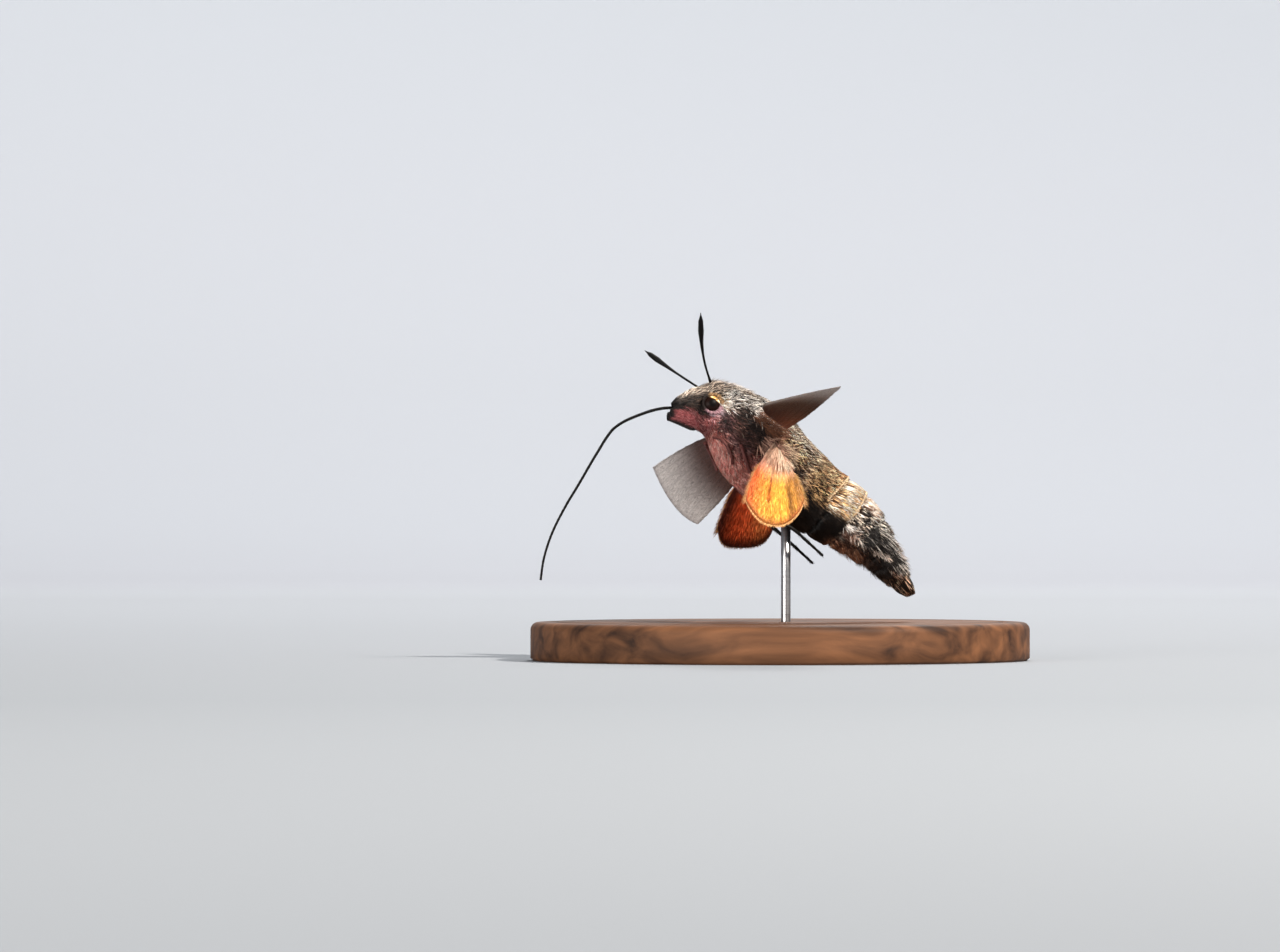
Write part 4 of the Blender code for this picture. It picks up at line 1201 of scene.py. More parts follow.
# %% [markdown]
# ## Side tufts
# The species carries tufts of white and black scales along the sides of its rear rings. Each
# is a few sheaves that leave the side, bend out and fan. They are bunches of long blades
# along the same curves as the solids' locks, scattered round each of them.

# %% Side tufts
# Station and angle of the root, and how white the tuft is.
SIDE_TUFTS = ((11.85, -14.0, 0.03), (12.65, 6.0, 0.24), (13.65, -16.0, 0.03), (14.15, 8.0, 0.44))
TUFT_SPREAD = math.radians(15.0)
# Each lock's place in its fan, its length in stations and its rise in mm.
TUFT_LOCKS = ((-1, 1.5, 0.70), (0, 1.8, 1.05), (1, 1.4, 0.80))
TUFT_BLADES, TUFT_RINGS = 90, 5
TUFT_WHITE, TUFT_BLACK = linear(240, 232, 222), linear(26, 21, 19)


def tuft_lock(station, middle, white, length, rise, rng):
    """Blades round one lock: the lift rises to its own height as the part to the power 1.3."""
    part = np.linspace(0, 1, TUFT_RINGS)[None]
    root = station + rng.normal(0, 0.12, TUFT_BLADES)
    reach = length * rng.uniform(0.55, 1.04, TUFT_BLADES)
    fan = middle + rng.normal(0, 0.10, TUFT_BLADES)
    high = rise * MM * rng.uniform(0.1, 1.0, TUFT_BLADES)
    stations = root[:, None] + part * reach[:, None]
    angles = fan[:, None] + part * rng.normal(0, 0.10, TUFT_BLADES)[:, None]
    lift = -0.45 * MM * (1 - part) ** 2 + high[:, None] * part ** 1.3
    paths, outward = laid_on_body(stations, angles, lift)
    pale = (rng.random(TUFT_BLADES) < white)[:, None]
    tone = np.where(pale, TUFT_WHITE, TUFT_BLACK) * rng.uniform(0.3, 1.1, (TUFT_BLADES, 1))
    return paths, outward, tone, on_map((root - 11) / 4, fan)


rng = np.random.default_rng(300)
locks = []
for station, degrees, white in SIDE_TUFTS:
    for side in SIDES:
        for step, length, rise in TUFT_LOCKS:
            middle = on_side(side, math.radians(degrees) + step * TUFT_SPREAD)
            locks.append(tuft_lock(station, middle, white, length, rise, rng))
paths, outward, colours, spots = piled(locks)
coat("coat_side_tufts", paths, outward, even_taper(paths, 0.036), colours, spots, "banded_fur")

# %% [markdown]
# ## Palps
# The two palps are short brushes beside the mouth, thickly scaled, rose below and black
# above; the far one is dark below too, with painted shade. Their scales point to their tips,
# along a curve that isn't the body's, so the palp's own formula carries them.

# %% Palps
PALP_SCALES = 2200
PALP_CORE = 0.9 * MM


def palp_scales(side, rng):
    """Short blades that start under the palp's coat and reach its outside towards the tip."""
    spots = even_scatter(PALP_SCALES, rng)
    part, angle = spots[:, 0] * 0.98, spots[:, 1] * 2 * math.pi
    reach = rng.uniform(0.10, 0.17, PALP_SCALES)
    steps = np.linspace(0, 1, 3)[None]
    parts = np.minimum(part[:, None] + reach[:, None] * steps, 1.0).ravel()
    angles = (angle[:, None] + steps * rng.normal(0, 0.12, PALP_SCALES)[:, None]).ravel()
    high = rng.uniform(0.75, 1.1, PALP_SCALES)[:, None]
    lift = -0.19 * MM + 0.22 * MM * steps ** 0.7 * high
    points = palp_surface(side, parts, angles, lift.ravel())
    outward = unit(points - palp_surface(side, parts, angles, -PALP_CORE))
    tone = palp_colours(side, part, angle, rng.random(PALP_SCALES))
    tone = tone * rng.uniform(0.8, 1.2, (PALP_SCALES, 1))
    shape = (PALP_SCALES, 3, 3)
    return points.reshape(shape), outward.reshape(shape), tone, np.stack(
        [part * 0.48 + (0.5 if side == "right" else 0.0), spots[:, 1]], axis=1)


rng = np.random.default_rng(400)
paths, outward, colours, spots = piled([palp_scales(side, rng) for side in SIDES])
coat("coat_palps", paths, outward, even_taper(paths, 0.04), colours, spots, "rose_fur")

# %% [markdown]
# ## Feelers and tongue
# The feelers are slender clubs, thickest at four fifths, with a fine hooked tip. The tongue
# is a fine tube with a knee. A bevelled curve would do for either, but a ring swept along a
# path can also swell and narrow by a table, and carry the fine ridges that catch the light.

# %% Feelers and tongue
FEELER_ROWS, FEELER_RIDGE = 190, 0.07
TONGUE_ROWS, TONGUE_RIDGE = 260, 0.05
TUBE_SIDES = 12
ANTENNA_LENGTH = 9.2 * MM
ANTENNA_STATION = {"left": 2.85, "right": 2.6}
ANTENNA_ROOT_ANGLE = {"left": math.radians(70.0), "right": math.radians(122.0)}
ANTENNA_POINTING = {"left": (-0.115, -0.62, 0.775), "right": (-0.66, 0.62, 0.46)}
ANTENNA_BOW = {"left": (-0.32, 0.0, -0.40), "right": (0.0, 0.0, -0.10)}
# Parts of the length, and the radius in mm there.
ANTENNA_RADII = ((0.0, 0.12, 0.45, 0.62, 0.78, 0.90, 0.965, 1.0),
                 (0.16, 0.115, 0.125, 0.19, 0.30, 0.25, 0.08, 0.03))
PROBOSCIS_PATH = np.array([
    (-9.20, -1.85, 26.10),
    (-11.40, -2.05, 26.30),
    (-13.05, -2.25, 26.08),
    (-14.90, -2.55, 25.46),
    (-16.35, -2.82, 24.80),
    (-17.42, -2.98, 24.02),
    (-18.22, -3.10, 22.95),
    (-18.95, -3.18, 21.75),
    (-19.70, -3.25, 20.50),
    (-21.00, -3.35, 18.25),
    (-22.35, -3.40, 16.00),
    (-23.70, -3.40, 13.30),
    (-24.55, -3.35, 10.70),
    (-24.90, -3.25, 8.40),
])
BLACK = linear(11, 10, 10)


def black_tube(name, path, radii, replaced):
    """A swept tube in horn black."""
    points, triangles = tube(swept(path, radii, TUBE_SIDES))
    piece = solid(name, points, triangles, "horn_black", (replaced,),
                  np.tile(BLACK, (len(points), 1)))
    piece.data.materials.append(HORN)
    print(f"{name}: {len(triangles)} triangles")


for side in SIDES:
    root = body_spot(ANTENNA_STATION[side], ANTENNA_ROOT_ANGLE[side], 0.18 * MM)
    along = np.linspace(-0.09, 1.0, FEELER_ROWS)
    bow = np.array(ANTENNA_BOW[side]) * MM * np.sin(math.pi * np.maximum(along, 0))[:, None]
    path = root + unit(ANTENNA_POINTING[side]) * ANTENNA_LENGTH * along[:, None] + bow
    radii = np.interp(along, *ANTENNA_RADII) * MM * (1 + FEELER_RIDGE * np.sin(along * 380))
    black_tube(f"feeler_{side}", path, radii, f"antenna_{side}")
steps = np.linspace(0, len(PROBOSCIS_PATH) - 1, TONGUE_ROWS)
ridges = 1 + TONGUE_RIDGE * np.sin(np.arange(TONGUE_ROWS) * 1.9)
black_tube("tongue", smooth_between(PROBOSCIS_PATH, steps) * MM,
           np.linspace(0.165, 0.12, TONGUE_ROWS) * MM * ridges, "proboscis")

# %% [markdown]
# ## Legs
# The fore and middle legs are folded against the breast and the hind legs trail. Each is a
# row of tapering joints with small spines at their ends. Cones end to end would show their
# seams, so one ring is swept along all the joints, and the spines are blades that lean back.

# %% Legs
LEG_LIFT = 0.34 * MM
FOLDED_COLOUR = linear(84, 48, 45)
FOLDED_LEGS = {
    "foreleg": ((4.55, -62.0), (5.20, -52.0), (5.90, -52.0), (6.60, -60.0)),
    "midleg": ((6.00, -34.0), (6.70, -40.0), (7.50, -49.0), (8.30, -62.0)),
}
HIND_LEGS = {
    "hindleg_left": ((-2.35, -2.35, 16.45), (-1.20, -3.10, 15.00), (1.09, -2.60, 13.85),
                     (2.80, -2.10, 12.40), (4.48, -1.70, 10.88)),
    "hindleg_right": ((-2.95, 1.15, 16.45), (-2.10, 2.30, 15.00), (-0.42, 2.20, 13.60),
                      (1.60, 1.90, 11.80), (3.48, 1.60, 10.05)),
}
FOLDED_RADIUS, HIND_RADIUS = 0.21 * MM, 0.22 * MM
LEG_RINGS, LEG_SIDES = 90, 10
LEG_SPINES = 64
SPINE_HALF_WIDTHS = np.array([0.032, 0.026, 0.01]) * MM


def leg_spines(path, radii, rng):
    """Short blades all round the leg, that leave it and lean towards its foot."""
    spot = rng.integers(4, LEG_RINGS - 2, LEG_SPINES)
    turn = rng.uniform(0, 2 * math.pi, LEG_SPINES)
    way, first, second = (axis[spot] for axis in path_axes(path))
    outward = first * np.cos(turn)[:, None] + second * np.sin(turn)[:, None]
    reach = (rng.uniform(0.18, 0.36, LEG_SPINES) * MM)[:, None]
    radius = radii[spot][:, None]
    steps = [path[spot] + outward * radius * 0.6,
             path[spot] + outward * (radius + reach * 0.25) + way * reach * 0.6,
             path[spot] + outward * (radius + reach * 0.35) + way * reach * 1.3]
    return blades(np.stack(steps, axis=1), np.repeat(outward[:, None], 3, axis=1),
                  np.tile(SPINE_HALF_WIDTHS, (LEG_SPINES, 1)))


def leg(name, joints, radius, colour, rng):
    """A leg: its radius falls to the foot and dips between the joints as |cos| cubed."""
    last = len(joints) - 1
    along = np.linspace(0, last, LEG_RINGS)
    path = smooth_between(joints, along)
    part = along / last
    knots = 0.88 + 0.12 * np.abs(np.cos(math.pi * along)) ** 3
    feet = np.where(part > 0.6, 0.92 + 0.08 * np.cos(part * 90), 1.0)
    radii = radius * (1 - 0.24 * part) * knots * feet
    radii[-4:] *= np.linspace(0.9, 0.35, 4)
    points, triangles = joined([tube(swept(path, radii, LEG_SIDES)),
                                leg_spines(path, radii, rng)])
    piece = solid(f"leg_{name}", points, triangles, "horn_black", (name,),
                  np.tile(colour, (len(points), 1)))
    piece.data.materials.append(HORN)
    print(f"leg_{name}: {len(triangles)} triangles")


rng = np.random.default_rng(500)
for name, joints in FOLDED_LEGS.items():
    stations, degrees = np.array(joints).T
    for side in SIDES:
        turned_to = degrees if side == "left" else 180.0 - degrees
        leg(f"{name}_{side}", body_surface(stations, np.radians(turned_to), LEG_LIFT),
            FOLDED_RADIUS, FOLDED_COLOUR, rng)
for name, joints in HIND_LEGS.items():
    leg(name, np.array(joints) * MM, HIND_RADIUS, BLACK, rng)

# %% [markdown]
# ## Wings
# Each wing is a membrane a few hundredths of a millimetre thick, stiffened by veins and
# thatched with scales on both faces. A flat cut-out would lie dead straight, so the surface
# is the same ruled sheet as the solid's, run from hinge to margin, only finer and thinner.
# Each face has its own colours, and a fringe of hair-like scales follows the outer edge.

# %% Wings
WING_ROOT_CLEARANCE = 0.45 * MM
FOREWING_LENGTH = 20.5 * MM
FOREWING_APEX_DROP = 1.0 * MM
FOREWING_TORNUS = (13.2 * MM, 8.4 * MM)
FOREWING_TERMEN_BULGE = (18.4 * MM, 6.6 * MM)
FOREWING_ROOT_STATIONS = (5.80, 7.05)
FOREWING_INNER_BULGE = 1.1 * MM
FOREWING_ROOT_ANGLE = math.radians(20.0)
FOREWING_SPAN = {"left": (-0.035, -0.998, 0.03), "right": (-0.445, 0.88, -0.163)}
FOREWING_CHORD = {"left": (0.95, 0.01, 0.25), "right": (0.20, -0.07, -0.977)}
FOREWING_CAMBER = 0.025
HINDWING_LENGTH = 10.9 * MM
HINDWING_CORNER_REACH = (7.6 * MM, 6.8 * MM)
HINDWING_HALF_WIDTH = 2.95 * MM
HINDWING_SQUARENESS = 0.85
HINDWING_ROOT_STATIONS = {"left": (7.12, 7.92), "right": (7.55, 8.35)}
HINDWING_ROOT_ANGLE = math.radians(-6.0)
HINDWING_SPAN = {"left": (-0.05, -0.73, -0.68), "right": (-0.12, 0.66, -0.75)}
HINDWING_CHORD = {"left": (0.99, 0.10, -0.07), "right": (0.98, 0.20, 0.03)}
HINDWING_PLEAT = 0.28 * MM
HINDWING_SWELL = 0.7 * MM
MEMBRANE_HALF = 0.05 * MM
VEIN_HALF, VEIN_BREADTH = 0.07 * MM, 0.010


def wing_frame(span, chord):
    """Span, chord and upright, square to each other."""
    span = unit(span)
    chord = unit(np.asarray(chord) - np.dot(chord, span) * span)
    return span, chord, np.cross(span, chord)


def hinge(side, stations, angle):
    """The front and rear ends of a wing's hinge, just off the thorax."""
    return (body_spot(station, on_side(side, angle), WING_ROOT_CLEARANCE)
            for station in stations)


def forewing(side, along, across):
    """A ruled sheet from hinge to outer margin, cambered by sin(pi along), rear edge bulged."""
    span, chord, upright = wing_frame(FOREWING_SPAN[side], FOREWING_CHORD[side])
    front, rear = hinge(side, FOREWING_ROOT_STATIONS, FOREWING_ROOT_ANGLE)
    w = across[:, None]
    apex = np.array((FOREWING_LENGTH, FOREWING_APEX_DROP))
    margin = (apex * (1 - w) ** 2 + 2 * np.array(FOREWING_TERMEN_BULGE) * w * (1 - w)
              + np.array(FOREWING_TORNUS) * w ** 2)
    outer = front + margin[:, :1] * span + margin[:, 1:] * chord
    inner = front + (rear - front) * w
    t = along[:, None]
    camber = FOREWING_CAMBER * FOREWING_LENGTH * np.sin(math.pi * t)
    points = inner * (1 - t) + outer * t
    points = points + upright * camber * (0.4 + 0.6 * np.sin(math.pi * w))
    points = points - chord * 0.8 * camber * (1 - w)
    return points + chord * FOREWING_INNER_BULGE * np.sin(math.pi * t ** 0.7) * w ** 2


def hindwing(side, along, across):
    """A short fan: its margin is a half ellipse of reach, and shallow pleats run along it."""
    span, chord, upright = wing_frame(HINDWING_SPAN[side], HINDWING_CHORD[side])
    front, rear = hinge(side, HINDWING_ROOT_STATIONS[side], HINDWING_ROOT_ANGLE)
    w = across[:, None]
    turn = math.pi * (w - 0.5)
    lead, trail = HINDWING_CORNER_REACH
    corner = lead + (trail - lead) * w
    reach = corner + (HINDWING_LENGTH - corner) * np.cos(turn)
    breadth = HINDWING_HALF_WIDTH * np.sign(turn) * np.abs(np.sin(turn)) ** HINDWING_SQUARENESS
    outer = (front + rear) / 2 + reach * span + breadth * chord
    inner = front + (rear - front) * w
    t = along[:, None]
    points = inner * (1 - t) + outer * t
    swell = np.sin(math.pi * t) * (w - 0.5) * HINDWING_SWELL
    pleat = HINDWING_PLEAT * np.sin(3 * math.pi * w) * t
    return points + chord * swell + upright * pleat


def wing_normal(shape, side, along, across):
    """Square to the sheet: the cross product of small steps along and across it."""
    small = 1e-3
    run = shape(side, along + small, across) - shape(side, along - small, across)
    over = shape(side, along, across + small) - shape(side, along, across - small)
    return unit(np.cross(run, over))


# %% [markdown]
# ## Wing colours
# The fore wings are brown above and the hind wings orange, and each face has its own lines,
# folds and border. The dark folds are painted shade, and the hind wings' bright colours are
# partly painted light shining through them. A picture could carry them, but one function of
# the places along and across a wing colours membrane, scales and fringe alike, so the three
# agree.

# %% Wing colours


def blend(colour, other, amount):
    """Mix a colour with another, given as it looks on a screen."""
    return colour + np.clip(amount, 0, 1)[:, None] * (linear(*other) - colour)


def bell(value, middle, breadth):
    """A smooth bump of height 1 round a middle."""
    return np.exp(-((value - middle) / breadth) ** 2)


def forewing_upper(along, across):
    """Grey-brown with two wavy dark lines, a dark spot and a darker outer band."""
    colour = np.tile(linear(112, 94, 78), (len(along), 1))
    wave = 0.018 * np.sin(across * 19) + 0.05 * across
    for line, strength in ((0.36, 0.8), (0.66, 0.8), (0.72, 0.4)):
        colour = blend(colour, (44, 34, 28), strength * bell(along + wave, line, 0.02))
    colour = blend(colour, (26, 20, 18), bell(along, 0.52, 0.018) * bell(across, 0.32, 0.07))
    return blend(colour, (66, 52, 44), 0.7 * step_between(0.80, 0.97, along))


def forewing_lower(along, across):
    """Dark red-brown for its inner half, then pale grey, with a darker rim."""
    colour = np.tile(linear(188, 180, 176), (len(along), 1))
    colour = blend(colour, (60, 34, 26), 1 - step_between(0.42, 0.96, along))
    colour = blend(colour, (104, 58, 38), 0.7 * across * (1 - step_between(0.05, 0.35, along)))
    return blend(colour, (120, 108, 104), 0.5 * step_between(0.95, 0.99, along))


def hindwing_upper(along, across):
    """Bright yellow, partly painted light through it, orange in front and at the rim, two folds in
    painted shade.
    """
    # The bright yellow is partly the wing's own colour, partly painted light shining through it.
    colour = np.tile(linear(255, 184, 76), (len(along), 1))
    colour = blend(colour, (214, 98, 56), 0.9 * (1 - step_between(0.08, 0.46, across)))
    # Painted shade in the two folds, the fold and the pleat.
    fold_shade = bell(across, 0.42, 0.026) * step_between(0.12, 0.3, along)
    colour = blend(colour, (168, 66, 14), 0.85 * fold_shade * (1 - step_between(0.5, 0.9, along)))
    pleat = bell(across, 0.72, 0.045) * step_between(0.2, 0.45, along)
    colour = blend(colour, (110, 68, 28), 0.85 * pleat * (1 - step_between(0.84, 1.0, along)))
    colour = blend(colour, (164, 112, 58), 0.85 * step_between(0.62, 0.9, across))
    colour = blend(colour, (250, 202, 176), 0.8 * (1 - step_between(0.10, 0.36, along)))
    colour = blend(colour, (176, 96, 56), 0.85 * step_between(0.74, 0.93, along))
    return blend(colour, (255, 206, 150), 0.25 * step_between(0.97, 0.99, along))


def hindwing_lower(along, across):
    """Bright red-orange, partly painted light through it, with a wide dark brown border along its
    front and outer edges.
    """
    # The bright red-orange, brightest towards the rear, is partly the wing's own colour, partly
    # painted light shining through it.
    colour = np.tile(linear(255, 110, 60), (len(along), 1))
    colour = blend(colour, (255, 158, 90), 0.75 * bell(across, 0.72, 0.16))
    colour = blend(colour, (226, 88, 48), 0.6 * (1 - step_between(0.2, 0.5, along)))
    border = np.maximum(step_between(0.66, 0.88, along), 1 - step_between(0.08, 0.40, across))
    return blend(colour, (56, 18, 12), 0.94 * border)


# %% [markdown]
# ## Wing membranes
# The membrane is a thin dry skin with raised veins. A plane given a thickness would have even
# walls, so both faces are worked out from the middle sheet, thinner at the rim and thicker
# over each vein.

# %% Wing membranes
# Name, shape, upper and lower paint, slot, where the veins run across.
WINGS = (
    ("forewing", forewing, forewing_upper, forewing_lower, "forewing_brown",
     (0.02, 0.10, 0.20, 0.31, 0.42, 0.53, 0.64, 0.76, 0.90)),
    ("hindwing", hindwing, hindwing_upper, hindwing_lower, "hindwing_orange",
     (0.04, 0.20, 0.36, 0.50, 0.64, 0.78, 0.94)),
)
WING_ROWS, WING_COLUMNS = 80, 80


def upward(side):
    """Which way the sheet's normal turns to face the wing's upper side."""
    return 1.0 if side == "left" else -1.0


def wing_membrane(name, side, shape, upper_paint, lower_paint, slot, veins):
    """The membrane: its half thickness falls to a tenth at the rim and rises over each vein."""
    along, across = np.meshgrid(np.linspace(0, 1, WING_ROWS), np.linspace(0, 1, WING_COLUMNS),
                                indexing="ij")
    t, w = along.ravel(), across.ravel()
    ridge = bell(w[:, None], np.array(veins), VEIN_BREADTH).max(axis=1)
    rim = np.minimum(step_between(0, 0.04, w), step_between(0, 0.04, 1 - w))
    rim = np.minimum(rim, step_between(0, 0.03, 1 - t))
    half = (MEMBRANE_HALF * (0.2 + 0.8 * rim) + VEIN_HALF * ridge * (1 - 0.7 * t) * rim)[:, None]
    middle = shape(side, t, w)
    normal = wing_normal(shape, side, t, w)
    grid = (WING_ROWS, WING_COLUMNS, 3)
    upper = (middle + upward(side) * normal * half).reshape(grid)
    lower = (middle - upward(side) * normal * half).reshape(grid)
    points, triangles = sheet(upper, lower)
    vein_shade = (1 - 0.35 * ridge)[:, None]
    colours = np.concatenate([upper_paint(t, w) * vein_shade, lower_paint(t, w) * vein_shade])
    piece = solid(f"{name}_{side}_membrane", points, triangles, slot, (f"{name}_{side}",), colours)
    piece.data.materials.append(MEMBRANE)


# %% [markdown]
# ## Wing scales
# Scales thatch both faces of a wing, short on the fore wing and hair-like on the hind wing,
# with a fringe at the edges. A bump would show none of them from the side, so each one is a
# blade that lies along the wing's own rays.

# %% Wing scales


def wing_blades(side, shape, along, across, reach, face, rise, rng, rings=3, aside=0.0):
    """Blades along a wing's rays, just off one face, bending aside as their part squared."""
    count = len(along)
    part = np.linspace(0, 1, rings)[None]
    t = (along[:, None] + part * reach[:, None]).ravel()
    w = across[:, None] + part * rng.normal(0, 0.012, count)[:, None]
    w = np.clip(w, 0.0, 1.0).ravel()
    normal = wing_normal(shape, side, t, w).reshape(count, rings, 3)
    dorsal = upward(side) * face[:, None]
    lift = dorsal * (MEMBRANE_HALF * 0.6 + rise[:, None] * part ** 0.8)
    points = shape(side, t, w).reshape(count, rings, 3) + normal * lift[..., None]
    rear, front = (shape(side, np.full(1, 0.8), np.full(1, edge)) for edge in (0.9, 0.1))
    bend = (np.ones(count) * aside)[:, None, None] * (part ** 2)[..., None]
    return points + bend * unit(rear - front), normal * dorsal[..., None]


# For each kind of wing: its length; how many scales; their least and greatest reach as a
# part of the wing; how far they rise in mm; how deep the streaks and the mottle are; the
# fringe's palest colour; how much of a scale's colour the painted shade at its root leaves.
WING_COATS = {
    "forewing": (FOREWING_LENGTH, 6000, (0.02, 0.045), 0.04, 0.06, 0.10, (150, 132, 112), 0.5),
    "hindwing": (HINDWING_LENGTH, 10500, (0.12, 0.26), 0.16, 0.10, 0.12, (250, 206, 140), 0.85),
}
EDGE_HAIRS, FLANK_HAIRS = 900, 420
HAIR_HALF_WIDTH = 0.022 * MM


def fringes(name, rng):
    """Rows of fringe: starts, places across, least and greatest length in mm, bend aside."""
    rows = [(np.full(EDGE_HAIRS, 0.975), np.linspace(0.01, 0.99, EDGE_HAIRS), 0.3, 0.75, 0.0)]
    if name == "hindwing":
        start = rng.uniform(0.28, 0.96, FLANK_HAIRS)
        rows.append((start, rng.uniform(0.0, 0.07, FLANK_HAIRS), 1.0, 2.0, -0.60 * MM))
        rows.append((start, rng.uniform(0.93, 1.0, FLANK_HAIRS), 1.0, 2.0, 0.65 * MM))
    return rows


def wing_coat(name, side, shape, upper_paint, lower_paint, slot, rng):
    """Scales on both faces, a fringe on the outer edge, and on the hind wing down both sides."""
    span, count, reaches, highest, streaks, mottle, pale, root = WING_COATS[name]
    spots = even_scatter(count, rng)
    along, across = spots[:, 0] ** 0.75 * 0.95, spots[:, 1]
    face = np.where(rng.random(count) < 0.5, 1.0, -1.0)
    reach = np.minimum(rng.uniform(*reaches, count), 1.0 - along)
    rise = rng.uniform(0.01, highest, count) * MM
    paths, outward = wing_blades(side, shape, along, across, reach, face, rise, rng)
    tone = np.where((face > 0)[:, None], upper_paint(along, across), lower_paint(along, across))
    streak = np.sin(across * 95 + 5 * np.sin(across * 31))[:, None] * streaks
    tone = tone * (1 + streak + rng.normal(0, mottle, (count, 1)))
    width = rng.uniform(0.022, 0.045, count) * MM * (0.5 + along)
    half = np.where(face > 0, 0.0, 0.5)
    batches = [(paths, outward, tone, width, np.stack([along, half + across * 0.49], axis=1))]
    for start, edge, short, long, bend in fringes(name, rng):
        hairs = len(edge)
        edge = np.clip(edge + rng.normal(0, 0.001, hairs), 0, 1)
        reach = rng.uniform(short, long, hairs) * MM / span
        aside = bend * rng.uniform(0.2, 1, hairs)
        paths, outward = wing_blades(side, shape, start, edge, reach, np.ones(hairs),
                                     np.zeros(hairs), rng, aside=aside)
        tone = blend(upper_paint(start, edge), pale, rng.uniform(0.1, 0.8, hairs))
        batches.append((paths, outward, tone * rng.uniform(0.6, 1.1, (hairs, 1)),
                        np.full(hairs, HAIR_HALF_WIDTH),
                        np.stack([start, np.clip(edge, 0.01, 0.99)], axis=1)))
    paths, outward, tones, widths, places = piled(batches)
    coat(f"{name}_{side}_scales", paths, outward, taper(3, widths), tones, places, slot, root)


rng = np.random.default_rng(600)
for side in SIDES:
    for name, shape, upper_paint, lower_paint, slot, veins in WINGS:
        wing_membrane(name, side, shape, upper_paint, lower_paint, slot, veins)
        wing_coat(name, side, shape, upper_paint, lower_paint, slot, rng)

# %% [markdown]
# ## Wing roots
# Long hair covers each hinge, rust behind the forewing, dark and gold over the hindwing's
# root. It bridges the small gap between the thorax and the wing, which a plain collar would
# do less well, because the hair lies partly on the body's formula and partly on the wing's.

# %% Wing roots
# Station from, to; angle from, to in degrees; shortest, longest in mm; rise in mm; colours.
ROOT_HAIR = (
    (5.4, 7.0, 6, 26, 1.0, 1.7, 0.60, (84, 50, 34), (140, 90, 60)),
    (6.4, 7.3, -14, 0, 1.2, 2.1, 0.75, (84, 54, 46), (236, 186, 160)),
    (7.2, 8.1, -8, 10, 1.0, 1.8, 0.55, (78, 52, 36), (255, 224, 190)),
)
ROOT_HAIRS, HINGE_HAIRS = 420, 620
HINGE_DARK, HINGE_PALE, HINGE_GOLD = (176, 126, 100), (255, 218, 190), (255, 240, 214)


def root_hair(side, start, end, low, high, short, long, rise, dark, light, rng):
    """Hair that leaves the side of the thorax and bends out over a hinge."""
    place = rng.uniform(start, end, ROOT_HAIRS)
    angle = on_side(side, np.radians(rng.uniform(low, high, ROOT_HAIRS)))
    paths, outward = loose_paths(place, angle, (short, long), 5, 0.12, (0.1, rise), rng)
    tone = blend(linear(*dark), light, rng.random(ROOT_HAIRS) ** 2)
    return paths, outward, tone, on_map((place - 5) / 4.5, angle)


def hinge_hair(side, rng):
    """Hair that leaves the body under the hind wing's hinge and lies out over the wing."""
    across = rng.random(HINGE_HAIRS)
    along = rng.uniform(-0.08, 0.06, HINGE_HAIRS)
    reach = rng.uniform(0.14, 0.24, HINGE_HAIRS) + 0.12 * across
    rise = rng.uniform(0.15, 0.65, HINGE_HAIRS) * MM
    paths, outward = wing_blades(side, hindwing, along, across, reach, np.ones(HINGE_HAIRS),
                                 rise, rng, rings=5)
    draw = rng.random(HINGE_HAIRS)
    tone = blend(linear(*HINGE_DARK), HINGE_PALE, draw)
    tone = blend(tone, HINGE_GOLD, (draw > 0.6) * step_between(0.3, 0.6, across))
    return paths, outward, tone, np.stack(
        [np.full(HINGE_HAIRS, 0.5), across * 0.45 + (0.5 if side == "right" else 0)], axis=1)


rng = np.random.default_rng(700)
batches = [root_hair(side, *row, rng) for row in ROOT_HAIR for side in SIDES]
batches += [hinge_hair(side, rng) for side in SIDES]
paths, outward, colours, spots = piled(batches)
coat("coat_wing_roots", paths, outward, even_taper(paths, 0.036), colours, spots, "rose_fur")

# %% [markdown]
# ## The stand
# A turned hardwood disc with a soft rim and one thin steel rod hold the moth up, as in a
# museum case. Cylinders with bevels would do, but a profile carried round an axis gives the
# groove in the top as well. The rod runs up into the belly's coat, where it holds the moth.

# %% The stand
BASE_RADIUS = 26.0 * MM
BASE_HEIGHT = 4.0 * MM
BASE_ROUNDING = 0.8 * MM
BASE_SIDES = 160
GROOVE_IN, GROOVE_DEPTH = 2.6 * MM, 0.22 * MM
ROD_RADIUS, ROD_SIDES = 0.5 * MM, 32
ROD_PLACE = (0.6 * MM, -0.3 * MM)
ROD_IN_COAT, ROD_IN_BASE = 0.75 * MM, 0.5 * MM


def turned(profile, middle, sides):
    """Radius and height pairs carried round an upright axis, closed at both ends."""
    turn = np.linspace(0, 2 * math.pi, sides, endpoint=False)
    ring = np.stack([np.cos(turn), np.sin(turn), np.zeros(sides)], axis=1)
    profile = np.asarray(profile)
    rings = (profile[:, 0, None, None] * ring[None]
             + np.array((0, 0, 1)) * profile[:, 1, None, None])
    return tube(rings + np.array((*middle, 0.0)))


def base_profile():
    """Up the side, round the rim by a quarter circle, and in along the top with one groove."""
    turn = np.linspace(0, math.pi / 2, 10)
    corner = BASE_RADIUS - BASE_ROUNDING
    rim = np.stack([corner + BASE_ROUNDING * np.cos(turn),
                    BASE_HEIGHT - BASE_ROUNDING + BASE_ROUNDING * np.sin(turn)], axis=1)
    foot = [(BASE_RADIUS - 0.3 * MM, 0.0), (BASE_RADIUS, 0.3 * MM), (BASE_RADIUS, 1.6 * MM)]
    groove, low = BASE_RADIUS - GROOVE_IN, BASE_HEIGHT - GROOVE_DEPTH
    top = [(groove + 0.35 * MM, BASE_HEIGHT), (groove + 0.1 * MM, low),
           (groove - 0.1 * MM, low), (groove - 0.35 * MM, BASE_HEIGHT),
           (groove * 0.5, BASE_HEIGHT), (2.0 * MM, BASE_HEIGHT)]
    return foot + rim.tolist() + top


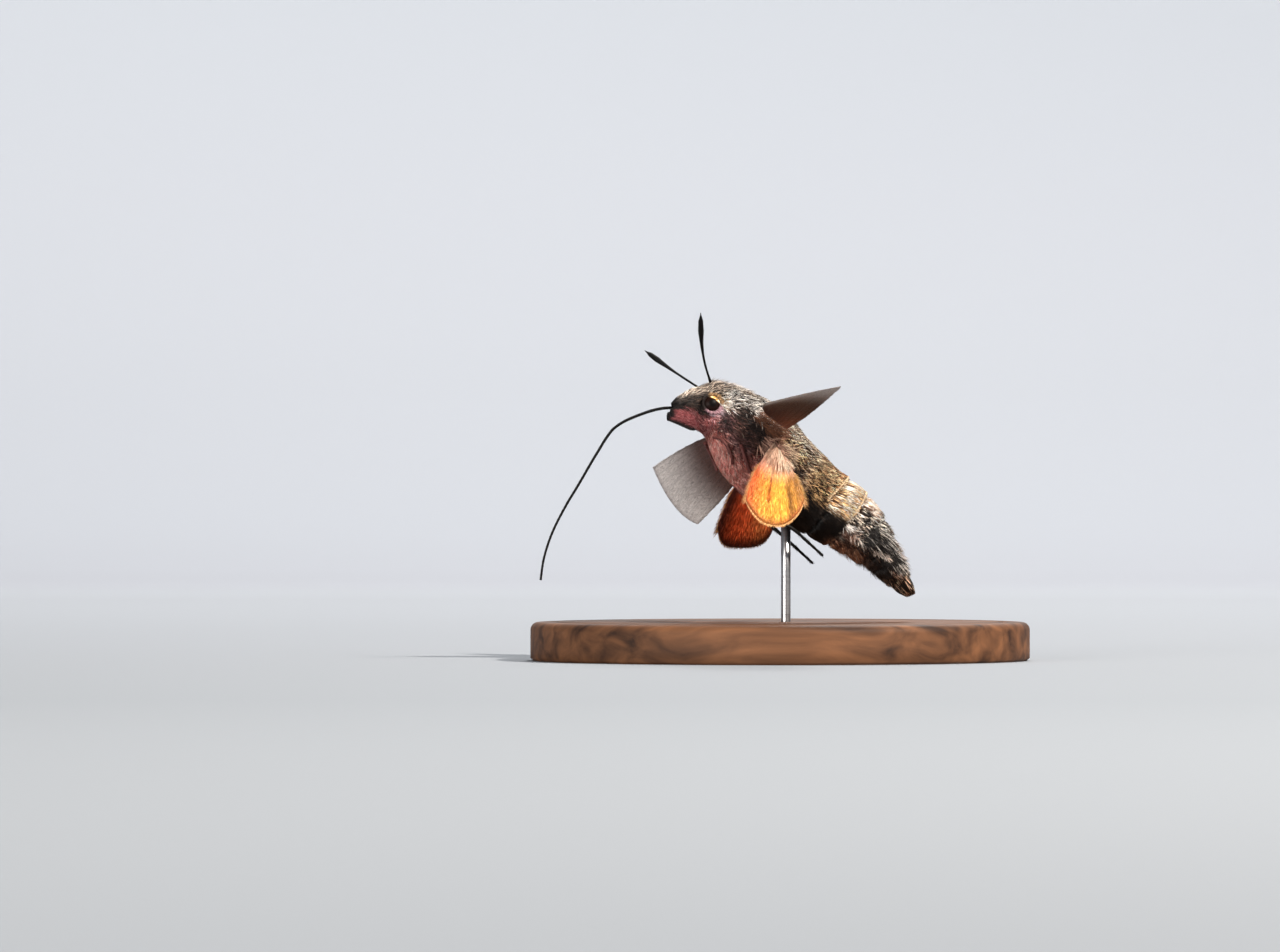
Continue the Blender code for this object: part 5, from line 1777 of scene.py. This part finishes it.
def stretched_noise(tree, scale, settings):
    """Noise drawn out along the axes in which the scale is small."""
    place = add_node(tree, "TexCoord").outputs["Object"]
    stretch = add_node(tree, "Mapping", {"Scale": scale}, {"Vector": place})
    return add_node(tree, "TexNoise", {"Scale": 1.0, **settings},
                    {"Vector": stretch.outputs["Vector"]}).outputs["Fac"]


def add_tint(tree, shader, height, stops):
    """A ramp between two colours, each at its own place, as the shader's colour."""
    tint = add_node(tree, "ValToRGB", {}, {"Fac": height})
    for stop, (position, colour) in zip(tint.color_ramp.elements, stops):
        stop.position, stop.color = position, (*colour, 1.0)
    tree.links.new(tint.outputs["Color"], shader.inputs["Base Color"])


def wood():
    """Dark walnut: noise drawn out along the grain gives its colour and a fine relief."""
    material, tree, shader = new_finish(
        "walnut", {"Roughness": 0.66, "Specular IOR Level": 0.2})
    grain = stretched_noise(tree, (40.0, 420.0, 420.0), {"Detail": 6.0, "Distortion": 0.6})
    add_tint(tree, shader, grain, ((0.32, linear(46, 28, 18)), (0.70, linear(112, 74, 48))))
    add_relief(tree, shader, grain, 0.2, 0.1 * MM)
    return material


def brushed_steel():
    """Steel with fine scratches round it: noise drawn out along the rod's girth."""
    material, tree, shader = new_finish("brushed_steel", {"Metallic": 1.0})
    scratch = stretched_noise(tree, (300.0, 300.0, 9000.0), {})
    add_tint(tree, shader, scratch, ((0.0, (0.30, 0.30, 0.31)), (1.0, (0.50, 0.50, 0.51))))
    rough = add_node(tree, "MapRange", {"To Min": 0.22, "To Max": 0.42}, {"Value": scratch})
    tree.links.new(rough.outputs["Result"], shader.inputs["Roughness"])
    return material


base = solid("stand_disc", *turned(base_profile(), (0.0, 0.0), BASE_SIDES), "stand_wood",
             ("stand_base",))
base.data.materials.append(wood())
rod_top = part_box("stand_rod")[1].z + ROD_IN_COAT
rod_heights = (BASE_HEIGHT - ROD_IN_BASE, BASE_HEIGHT + 0.1 * MM, (BASE_HEIGHT + rod_top) / 2,
               rod_top)
rod = solid("stand_pin", *turned([(ROD_RADIUS, height) for height in rod_heights], ROD_PLACE,
                                 ROD_SIDES), "stand_metal", ("stand_rod",))
rod.data.materials.append(brushed_steel())
print(f"rod up to {rod_top / MM:.1f} mm")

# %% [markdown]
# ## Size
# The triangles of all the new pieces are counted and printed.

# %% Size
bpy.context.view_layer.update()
total = sum(len(thing.data.polygons) for thing in bpy.data.objects
            if thing.type == "MESH" and "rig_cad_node" not in thing.keys())
print("triangles in the new pieces:", total)
